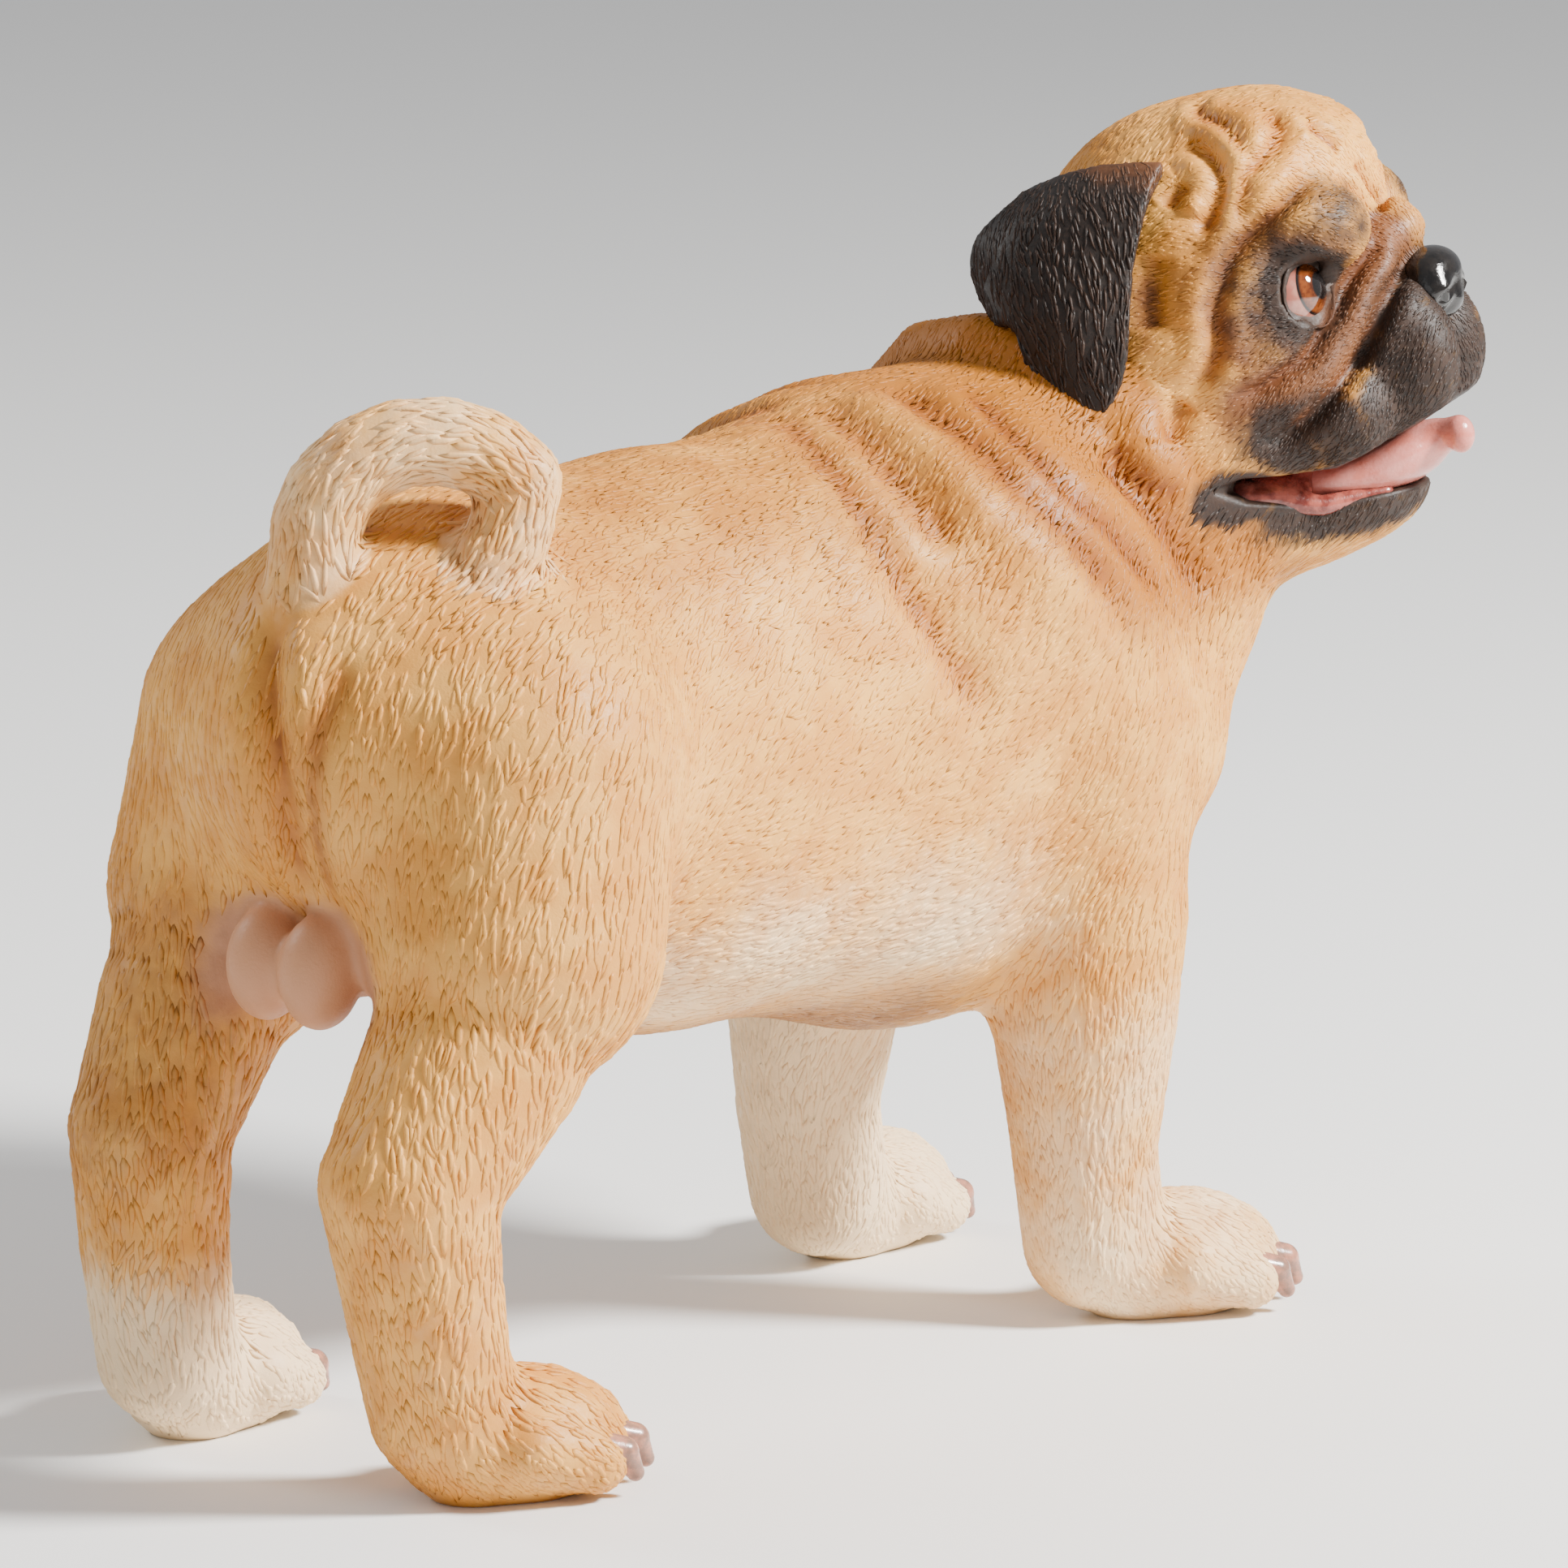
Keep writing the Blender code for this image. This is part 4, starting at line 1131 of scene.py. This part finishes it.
def tuft_sizes(points):
    """Length, width and height of a tuft at each point, and the spacing between tufts."""
    head = head_share(points)
    local = HEAD.local(points)
    front = fade(local[:, 0], 8, 34) * head
    tail = tail_share(points)
    z = points[:, 2]
    legs = (1 - fade(z, 95, 150)) * (1 - head)
    rear = fade(-points[:, 0], 60, 110) * (1 - head)
    paws = 1 - fade(z, 12, 34)
    belly = (1 - fade(z, 84, 105)) * fade(points[:, 0], -90, -60) * (1 - fade(points[:, 0], 55, 80))
    length = 7.4 + 1.4 * rear + 0.8 * legs - 2.6 * paws + 2.2 * tail
    width = 1.75 + 0.3 * rear + 0.15 * legs + 0.15 * tail
    height = 0.24 + 0.12 * rear + 0.10 * legs - 0.06 * paws - 0.08 * belly + 0.12 * tail
    length = length * (1 - head) + head * (4.2 - 1.6 * front)
    width = width * (1 - head) + head * (1.05 - 0.28 * front)
    height = height * (1 - head) + head * (0.17 + 0.09 * front)
    return length, width, height, np.sqrt(length * width) * (0.60 + 0.04 * head)


def bare(points):
    """Where no tufts grow: in the mouth, round the eyes, by the nose and under the soles."""
    local = HEAD.local(points)
    mouth = outline_distance(local[:, [0, 2]], mouth_outline()) < LIP_EDGE
    mouth &= abs(local[:, 1]) < MOUTH_HALF_WIDTH
    mouth &= np.linalg.norm(local, axis=1) < 95
    nose = np.linalg.norm((local - (58, 0, 0)) / (8, 12, 9), axis=1) < 1
    none = mouth | nose | (points[:, 2] < SOLE_EDGE) | (both(points, *PATCHES["seat"]) > BARE_SEAT)
    for side in (-1, 1):
        seen = (local - eye_spot(side)) @ (HEAD.axes.T @ look_axes(side))
        near = (seen[:, 0] > 0) & (np.linalg.norm(seen, axis=1) < EYE_REACH)
        none |= near & (oval(seen, EYE_OPENING) < LID_EDGE)
    return none


def grow(tree, normals, roots, length, combing, chance):
    """Lines of four stations from each root along the skin, as the coat lies."""
    spot_now, up_now = nearest(tree, normals, roots)
    stations = [spot_now]
    ups = [up_now]
    for _ in range(3):
        if len(stations) == 1:
            way = combing(spot_now, up_now, chance)
            bend = chance.normal(0, 0.13, len(roots))
        else:
            way = level_out(turned(way, up_now, bend), up_now)
        spot_now, up_now = nearest(tree, normals, spot_now + way * (length / 3)[:, None])
        stations.append(spot_now)
        ups.append(up_now)
    return stations, ups


def tuft_mesh(stations, ups, width, height, lift):
    """Slim ridges, pointed at both ends and sunk in the skin along their sides."""
    count = len(stations[0])
    corners = np.zeros((count, 8, 3))
    ridge = np.zeros((count, 8))
    corners[:, 0] = stations[0] - ups[0] * SINK
    for k, (share, rise, first) in enumerate(((1.0, 1.0, 1), (0.85, 0.8, 4))):
        here = stations[k + 1]
        way = stations[k + 2] - stations[k]
        across = np.cross(ups[k + 1], way)
        across /= np.linalg.norm(across, axis=1)[:, None] + 1e-9
        half = (0.5 * width * share)[:, None]
        corners[:, first] = here + across * half - ups[k + 1] * SINK
        corners[:, first + 1] = here + ups[k + 1] * (height * rise)[:, None]
        corners[:, first + 2] = here - across * half - ups[k + 1] * SINK
        ridge[:, first + 1] = 1.0
    corners[:, 7] = stations[3] + ups[3] * lift[:, None]
    ridge[:, 7] = 0.75
    faces = np.array([(0, 2, 1), (0, 3, 2), (0, 1, 3),
                      (1, 2, 5), (1, 5, 4), (2, 3, 6), (2, 6, 5), (3, 1, 4), (3, 4, 6),
                      (4, 5, 7), (5, 6, 7), (6, 4, 7)])
    return corners, ridge, faces


class Unwrap:
    """A flat map of the skin's own shape, looked up by place."""

    def __init__(self, thing, faces):
        copy = new_object("unwrap", thing.data.copy())
        thin = copy.modifiers.new("thin", "DECIMATE")
        thin.ratio = min(1.0, faces / (2 * len(copy.data.polygons)))
        bake(copy)
        bpy.ops.object.select_all(action="DESELECT")
        copy.select_set(True)
        bpy.context.view_layer.objects.active = copy
        bpy.ops.object.mode_set(mode="EDIT")
        bpy.ops.mesh.select_all(action="SELECT")
        bpy.ops.mesh.quads_convert_to_tris()
        bpy.ops.uv.smart_project(angle_limit=math.radians(66), island_margin=0.004)
        bpy.ops.object.mode_set(mode="OBJECT")
        self.tree = skin_tree(copy)
        self.points = read_points(copy.data)
        self.corners = pull(copy.data.loops, "vertex_index", kind=np.int64).reshape(-1, 3)
        self.flat = pull(copy.data.uv_layers.active.data, "uv", 2).reshape(-1, 3, 2)
        bpy.data.objects.remove(copy)

    def find(self, spots):
        """The place on the map of each spot, given in millimetres."""
        found = np.empty_like(spots)
        index = np.empty(len(spots), dtype=np.int64)
        for i, where in enumerate(spots * MM):
            found[i], _, index[i], _ = self.tree.find_nearest(where)
        a, b, c = self.points[self.corners[index]].transpose(1, 0, 2)
        normal = np.cross(b - a, c - a)
        size = (normal ** 2).sum(1) + 1e-20
        u = (np.cross(c - b, found - b) * normal).sum(1) / size
        v = (np.cross(a - c, found - c) * normal).sum(1) / size
        share = np.clip(np.stack([u, v, 1 - u - v], 1), 0, 1)
        return (self.flat[index] * share[:, :, None]).sum(1)


def build_tufts(name, corners, faces, flat, paint):
    """One mesh of many tufts, with their patches of the flat map and their paint."""
    count = len(corners)
    triangles = (faces[None] + 8 * np.arange(count)[:, None, None]).reshape(-1, 3)
    mesh = bpy.data.meshes.new(name)
    mesh.vertices.add(8 * count)
    mesh.vertices.foreach_set("co", (corners * MM).ravel())
    mesh.loops.add(triangles.size)
    mesh.loops.foreach_set("vertex_index", triangles.ravel())
    mesh.polygons.add(len(triangles))
    mesh.polygons.foreach_set("loop_start", np.arange(0, triangles.size, 3))
    mesh.update(calc_edges=True)
    under = mesh.attributes.new("sharp_face", "BOOLEAN", "FACE")
    under.data.foreach_set("value", np.tile(np.isin(np.arange(len(faces)), UNDERSIDES), count))
    layer = mesh.uv_layers.new(name="OFBake")
    spread = (flat[:, None] + PATCH * PATCH_SHAPE[None]).reshape(-1, 2)
    layer.data.foreach_set("uv", spread[triangles.ravel()].ravel())
    write_paint(mesh, {key: np.broadcast_to(value.reshape(count, -1), (count, 8)).ravel()
                       for key, value in paint.items()})
    return new_object(name, mesh)


def tufts_over(thing, sizes, barred, way, paint_at, chance):
    """Tufts over the whole of an object: their corners, faces, paint and roots."""
    points = read_points(thing.data) / MM
    triangles, normals = face_data(thing.data)
    outward = face_ups(thing.data, normals)
    tree = skin_tree(thing)

    def wanted(middles):
        return np.where(barred(middles), NO_TUFTS, sizes(middles)[3])

    roots = scatter(points, triangles, wanted, chance)
    length, width, height, _ = sizes(roots)
    length = length * chance.uniform(0.72, 1.28, len(roots))
    width = width * chance.uniform(0.8, 1.2, len(roots))
    height = height * chance.uniform(0.7, 1.3, len(roots))
    stations, ups = grow(tree, outward, roots, length, way, chance)
    reach = np.linalg.norm(stations[3] - stations[0], axis=1)
    kept = (reach > LEAST_REACH * length) & ~barred(stations[3]) & ~barred(stations[0])
    stations = [station[kept] for station in stations]
    ups = [up[kept] for up in ups]
    lift = height[kept] * chance.uniform(-0.5, 0.25, kept.sum())
    corners, ridge, faces = tuft_mesh(stations, ups, width[kept], height[kept], lift)
    paint = paint_at(stations[1])
    paint["ridge"] = ridge
    paint["tone"] = chance.uniform(-1, 1, kept.sum())
    return corners, faces, paint, stations[0]


def make_coat(skin, lines, chance):
    """The carved fur over the skin, in pieces."""
    def paint_at(points):
        _, hollow = press_folds(points, lines)
        return markings(points, hollow)

    corners, faces, paint, roots = tufts_over(skin, tuft_sizes, bare, lie, paint_at, chance)
    flat = Unwrap(skin, SKIN_MAP_FACES).find(roots)
    head = head_share(roots) > 0.5
    tail = (tail_share(roots) > 0.5) & ~head
    legs = (roots[:, 2] < LEG_TOP) & ~head & ~tail
    trunk = ~(head | tail | legs)
    groups = {"coat_head_face": head & (HEAD.local(roots)[:, 0] > FACE_SPLIT)}
    groups["coat_head_rear"] = head & ~groups["coat_head_face"]
    groups["coat_tail"] = tail
    groups["coat_legs_front"] = legs & (roots[:, 0] > 0)
    groups["coat_legs_hind"] = legs & (roots[:, 0] <= 0)
    groups["coat_trunk_front"] = trunk & (roots[:, 0] > TRUNK_SPLIT)
    groups["coat_trunk_rear"] = trunk & (roots[:, 0] <= TRUNK_SPLIT)
    pieces = []
    for name, chosen in groups.items():
        part = {key: value[chosen] for key, value in paint.items()}
        pieces.append(build_tufts(name, corners[chosen], faces, flat[chosen], part))
    return pieces


def make_ear(name, side):
    """A folded flap: a curved sheet from its root inside the skull to its tip."""
    mesh = bmesh.new()
    grid = []
    for i in range(EAR_ROWS + 1):
        t = i / EAR_ROWS
        front = curve(EAR_FRONT, t)
        rear = curve(EAR_REAR, t)
        row = []
        for j in range(EAR_COLUMNS + 1):
            s = j / EAR_COLUMNS
            crown = EAR_CROWN * math.sin(math.pi * s) * math.sin(math.pi * min(1.0, 0.2 + 0.8 * t)) ** 0.6
            point = front * (1 - s) + rear * s + np.array([0, 0.6, 0.5]) * crown
            point[2] -= EAR_TIP * t ** 3 * math.sin(math.pi * s)
            curl = EAR_CURL * math.exp(-((t - 0.38) / 0.17) ** 2) * max(0.0, (s - 0.72) / 0.28) ** 1.5
            point += np.array([0.35, -1.0, -0.25]) * curl
            point[1] *= side
            row.append(mesh.verts.new(Vector(HEAD.point(point) * MM)))
        grid.append(row)
    for i in range(EAR_ROWS):
        for j in range(EAR_COLUMNS):
            corners = [grid[i][j], grid[i][j + 1], grid[i + 1][j + 1], grid[i + 1][j]]
            mesh.faces.new(corners if side > 0 else corners[::-1])
    thing = new_object(name, from_drawn(name, mesh))
    thick = thing.modifiers.new("thick", "SOLIDIFY")
    thick.thickness = EAR_THICKNESS * MM
    thick.offset = 0.0
    thick.use_even_offset = True
    bake(thing)
    remesh(thing, EAR_VOXEL)
    soft = thing.modifiers.new("soft", "SMOOTH")
    soft.iterations = 6
    bake(thing)
    return thing


def ear_paint(points):
    """Charcoal ears that turn fawn brown where they meet the skull."""
    local = HEAD.local(points)
    root = fade(local[:, 2] + 0.35 * local[:, 0] + 2.0 * ripple(points, 9, 21), 26, 44)
    none = np.zeros(len(points))
    return {"warm": none, "rust": none, "pale": none, "pink": none, "inner": none, "wash": none,
            "brown": np.ones(len(points)), "dark": 1 - 0.6 * root, "gloss": 0.5 * (1 - root)}


def coat_ear(thing, name, side, chance):
    """Longer carved strokes down an ear flap."""
    def sizes(points):
        local = HEAD.local(points)
        outer = fade(local[:, 1] * side, 40, 52)
        length = 5.0 + 2.6 * outer
        width = 1.0 + 0.25 * outer
        return length, width, 0.26 + 0.16 * outer, np.sqrt(length * width) * 0.6

    def barred(points):
        local = HEAD.local(points)
        return np.linalg.norm(local * (0.95, 1, 1), axis=1) < EAR_BURIED

    def way(points, normals, chance):
        local = HEAD.local(points)
        fan = 0.022 * (local[:, 0] + 24) * fade(-local[:, 2], -25, 20)
        outward, falling = np.full_like(fan, side * 0.25), np.full_like(fan, -1.0)
        down = np.stack([0.12 - fan, outward, falling], 1) @ HEAD.axes.T
        angle = 0.16 * ripple(points, 9, 31) + chance.normal(0, 0.07, len(points))
        return level_out(turned(level_out(down, normals), normals, angle), normals)

    corners, faces, paint, roots = tufts_over(thing, sizes, barred, way, ear_paint, chance)
    flat = Unwrap(thing, EAR_MAP_FACES).find(roots)
    return build_tufts(name, corners, faces, flat, paint)


def make_eye(name, side):
    """Eyeball with a slightly raised cornea over the iris."""
    axes = HEAD.axes @ rotation(side * GAZE_OUTWARD, GAZE_UPWARD)
    centre = HEAD.point(eye_spot(side))
    mesh = bmesh.new()
    bmesh.ops.create_uvsphere(mesh, u_segments=64, v_segments=48, radius=EYEBALL_RADIUS)
    data = from_drawn(name, mesh)
    points = read_points(data)[:, [2, 0, 1]]
    away = np.degrees(np.arccos(np.clip(points[:, 0] / EYEBALL_RADIUS, -1, 1)))
    points *= (1 + 0.05 * np.clip(1 - (away / 42) ** 2, 0, 1))[:, None]
    write_points(data, (centre + points @ axes.T) * MM)
    spot = data.attributes.new("gaze", "FLOAT", "POINT")
    spot.data.foreach_set("value", (np.radians(away) * EYE_RADIUS).astype(np.float32))
    return new_object(name, data)


def make_form(name, forms, voxel, rounds=3):
    """A small organ drawn from its own muscles."""
    flesh = Flesh()
    forms(flesh)
    thing = new_object(name, rough_mesh(flesh))
    remesh(thing, voxel)
    fit(thing, flesh, voxel, rounds)
    return thing


def make_claw(name, place, toe):
    """A short blunt hook set in the front of a toe."""
    across, forward, spread = toe
    turn = math.radians(spread)
    ahead = np.array([math.cos(turn), math.sin(turn), 0.0])
    root = np.array([forward + 4, across, 12.5])
    bend = root + ahead * 6.5 + (0, 0, -1.5)
    tip = root + ahead * 9.5 + (0, 0, -6.5)

    def forms(flesh):
        flesh.chain(place, [root, bend, tip], CLAW_RADII, 2)

    return make_form(name, forms, 0.5, 2)


class Shading:
    """A material drawn with nodes."""

    def __init__(self, name):
        self.material = bpy.data.materials.new(name)
        self.material.use_nodes = True
        self.tree = self.material.node_tree
        self.shader = self.tree.nodes["Principled BSDF"]

    def add(self, kind, **settings):
        node = self.tree.nodes.new(kind)
        for key, value in settings.items():
            setattr(node, key, value)
        return node

    def feed(self, socket, value):
        """Set a socket to a number or a colour, or link it to another socket."""
        if isinstance(value, bpy.types.NodeSocket):
            self.tree.links.new(value, socket)
        elif isinstance(value, tuple):
            socket.default_value = (*value, 1.0)
        else:
            socket.default_value = value

    def value(self, name):
        return self.add("ShaderNodeAttribute", attribute_name=name).outputs["Fac"]

    def noise(self, size, detail=3.0, rough=0.55):
        """Cloudy values from 0 to 1 over lengths of about size, in millimetres."""
        node = self.add("ShaderNodeTexNoise")
        node.inputs["Scale"].default_value = 1.0 / (size * MM)
        node.inputs["Detail"].default_value = detail
        node.inputs["Roughness"].default_value = rough
        self.feed(node.inputs["Vector"], self.add("ShaderNodeTexCoord").outputs["Object"])
        return node.outputs["Fac"]

    def math(self, operation, a, b=0.5, c=0.5):
        node = self.add("ShaderNodeMath", operation=operation)
        for socket, value in zip(node.inputs, (a, b, c)):
            self.feed(socket, value)
        return node.outputs["Value"]

    def ramp(self, value, start, end, low=0.0, high=1.0):
        """Turn start..end into low..high along a smooth step."""
        node = self.add("ShaderNodeMapRange", interpolation_type="SMOOTHSTEP")
        for socket, number in zip(node.inputs, (value, start, end, low, high)):
            self.feed(socket, number)
        return node.outputs["Result"]

    def mix(self, share, a, b, blend="MIX"):
        node = self.add("ShaderNodeMix", data_type="RGBA", blend_type=blend)
        for socket, value in ((node.inputs[0], share), (node.inputs[6], a), (node.inputs[7], b)):
            self.feed(socket, value)
        return node.outputs[2]

    def bump(self, height, distance, strength=1.0):
        node = self.add("ShaderNodeBump")
        node.inputs["Strength"].default_value = strength
        node.inputs["Distance"].default_value = distance * MM
        self.feed(node.inputs["Height"], height)
        self.feed(self.shader.inputs["Normal"], node.outputs["Normal"])


def paint_material():
    """Dry-brushed paint of the whole statue: each colour lies where its marking says, painted shade under the
    belly and on the left hind leg among them.
    """
    look = Shading("paint")
    broad = look.noise(17)
    patchy = look.noise(5.0, 4.0)
    fine = look.noise(1.1, 3.0)
    colour = look.mix(look.ramp(broad, 0.35, 0.65), FAWN, FAWN_DEEP)
    for key, paint in (("warm", WARM), ("pale", PALE), ("pink", PINK), ("rust", RUST), ("brown", BROWN)):
        mottle = look.math("MULTIPLY", look.math("SUBTRACT", patchy, 0.5), 0.45)
        share = look.math("ADD", look.value(key), mottle)
        share = look.math("MULTIPLY", look.ramp(share, 0.12, 0.95), look.ramp(look.value(key), 0.0, 0.12))
        colour = look.mix(share, colour, paint)
    tone = look.math("MULTIPLY_ADD", look.value("tone"), 0.10, 0.5)
    ridge = look.math("MULTIPLY_ADD", look.value("ridge"), 0.16, tone)
    lit = look.math("MULTIPLY_ADD", look.math("SUBTRACT", fine, 0.5), 0.35, ridge)
    colour = look.mix(look.ramp(lit, 0.22, 0.62), look.mix(1.0, colour, GROOVE, "MULTIPLY"), colour)
    washed = look.mix(1.0, colour, WASH, "MULTIPLY")
    colour = look.mix(look.math("MULTIPLY", look.value("wash"), 0.75), colour, washed)
    edge = look.math("MULTIPLY_ADD", look.math("SUBTRACT", patchy, 0.5), 0.5, look.value("dark"))
    edge = look.math("MULTIPLY_ADD", look.value("tone"), 0.10, edge)
    edge = look.math("MULTIPLY", edge, look.ramp(look.value("dark"), 0.0, 0.12))
    black = look.mix(look.ramp(lit, 0.40, 0.80), BLACK, BLACK_RUBBED)
    colour = look.mix(look.ramp(edge, 0.12, 0.92), colour, black)
    colour = look.mix(look.value("inner"), colour, look.mix(patchy, MOUTH_PINK, MOUTH_RED))
    look.feed(look.shader.inputs["Base Color"], colour)
    shine = look.ramp(fine, 0.25, 0.75, 0.40, 0.56)
    gloss = look.math("MULTIPLY", look.value("gloss"), 0.06)
    wet = look.math("MULTIPLY_ADD", look.value("inner"), -0.3, look.math("ADD", shine, gloss))
    look.feed(look.shader.inputs["Roughness"], look.math("MAXIMUM", wet, 0.1))
    look.shader.inputs["Specular IOR Level"].default_value = 0.3
    look.bump(look.noise(0.8, 4.0), 0.12)
    return look.material


def eye_material():
    """Pupil, orange-brown iris with a dark ring, and a pink white, under lacquer."""
    look = Shading("eye_paint")
    away = look.value("gaze")
    streak = look.noise(1.2, 4.0)
    iris = look.mix(look.ramp(away, 2.4, 5.6), IRIS_DEEP, IRIS_BRIGHT)
    iris = look.mix(look.ramp(streak, 0.35, 0.7), iris, look.mix(1.0, iris, IRIS_STREAK, "MULTIPLY"))
    iris = look.mix(look.ramp(away, IRIS_RADIUS - 1.0, IRIS_RADIUS - 0.2), iris, EYE_BLACK)
    white = look.mix(look.ramp(look.noise(3.0), 0.35, 0.65), EYE_WHITE, EYE_WHITE_RED)
    colour = look.mix(look.ramp(away, IRIS_RADIUS, IRIS_RADIUS + 0.35), iris, white)
    colour = look.mix(look.ramp(away, PUPIL_RADIUS - 0.2, PUPIL_RADIUS + 0.3), EYE_BLACK, colour)
    look.feed(look.shader.inputs["Base Color"], colour)
    look.shader.inputs["Roughness"].default_value = 0.06
    look.shader.inputs["Coat Weight"].default_value = 0.6
    look.shader.inputs["Coat Roughness"].default_value = 0.03
    return look.material


def lacquer(name, first, second, size, rough, bumps):
    """Two mottled colours under a gloss."""
    look = Shading(name)
    cloud = look.noise(size, 4.0)
    look.feed(look.shader.inputs["Base Color"], look.mix(look.ramp(cloud, 0.35, 0.65), first, second))
    look.feed(look.shader.inputs["Roughness"], look.ramp(look.noise(2.0), 0.3, 0.7, rough, rough + 0.08))
    look.shader.inputs["Specular IOR Level"].default_value = 0.4
    look.shader.inputs["Coat Weight"].default_value = 0.2
    look.shader.inputs["Coat Roughness"].default_value = 0.06
    look.bump(look.noise(0.9, 2.0), bumps)
    return look.material


def place_in_frame(thing):
    """Move the object from the body's own place to the frame's."""
    thing.data.transform(Matrix.Translation(Vector(SHIFT * MM)))
    if "OFBake" not in thing.data.uv_layers:
        thing.data.shade_smooth()


def finish_piece(thing, material, nodes):
    """Place and paint a piece, and hide the solids it stands for."""
    place_in_frame(thing)
    thing.data.materials.clear()
    thing.data.materials.append(material)
    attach(thing, "root")
    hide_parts(*nodes)


def camera():
    """The camera at the photograph's view."""
    right, up, ahead = view_axes()
    data = bpy.data.cameras.new("camera")
    data.lens = LENS
    data.sensor_width = SENSOR
    thing = new_object("camera", data)
    axes = Matrix((right, up, -ahead)).transposed()
    thing.matrix_world = Matrix.Translation(Vector((view_point() + SHIFT) * MM)) @ axes.to_4x4()
    bpy.context.scene.camera = thing


def area_light(name, where, size, power, colour):
    data = bpy.data.lights.new(name, "AREA")
    data.shape = "DISK"
    data.size = size
    data.energy = power
    data.color = colour
    thing = new_object(name, data)
    thing.location = where
    thing.rotation_mode = "QUATERNION"
    thing.rotation_quaternion = (Vector(LIGHT_AIM) - Vector(where)).to_track_quat("-Z", "Y")


def studio():
    """Soft surroundings, three lights and a plain pale floor."""
    world = bpy.data.worlds.new("world")
    world.use_nodes = True
    sky = world.node_tree.nodes["Background"]
    sky.inputs["Color"].default_value = WORLD_COLOUR
    sky.inputs["Strength"].default_value = WORLD_STRENGTH
    bpy.context.scene.world = world
    for name, settings in LIGHTS.items():
        area_light(name, *settings)
    bpy.ops.mesh.primitive_plane_add(size=FLOOR_SIZE, location=(0, 0, 0))
    floor = bpy.context.object
    floor.name = "floor"
    look = Shading("floor")
    look.shader.inputs["Base Color"].default_value = FLOOR_COLOUR
    look.shader.inputs["Roughness"].default_value = FLOOR_ROUGHNESS
    floor.data.materials.append(look.material)


def main():
    paint = paint_material()
    eye = eye_material()
    black, pink, gum, horn = (lacquer(name, *recipe) for name, recipe in LACQUERS.items())
    chance = np.random.default_rng(SEED)
    flesh_nodes = ["torso", "neck", "head", "lower_jaw", "tail"]
    for word in ("left", "right"):
        flesh_nodes += [form + word for form in ("foreleg_", "forepaw_", "hindleg_", "hindpaw_")]
    skin, lines = make_skin()
    for piece in make_coat(skin, lines, chance):
        finish_piece(piece, paint, flesh_nodes)
    finish_piece(skin, paint, flesh_nodes)
    for word, side in (("left", 1), ("right", -1)):
        ear = make_ear("ear_flap_" + word, side)
        finish_piece(coat_ear(ear, "coat_ear_" + word, side, chance), paint, ["ear_" + word])
        shade = ear_paint(read_points(ear.data) / MM)
        shade["ridge"] = shade["tone"] = np.zeros(len(ear.data.vertices))
        write_paint(ear.data, shade)
        finish_piece(ear, paint, ["ear_" + word])
        finish_piece(make_eye("eyeball_" + word, side), eye, ["eye_" + word])
    finish_piece(make_form("nose_pad", nose_forms, 0.5), black, ["nose"])
    finish_piece(make_form("tongue_flesh", tongue_forms, 0.8), pink, ["tongue"])
    finish_piece(make_form("mouth_lining", lining_forms, 0.9), gum, ["lower_jaw"])
    for end, name, side in LEGS:
        for number, toe in enumerate(TOES):
            thing = make_claw(f"nail_{name}_{number + 1}", paw_place(end, name, side), toe)
            finish_piece(thing, horn, [f"claw_{name}_{number + 1}"])
    camera()
    studio()


main()
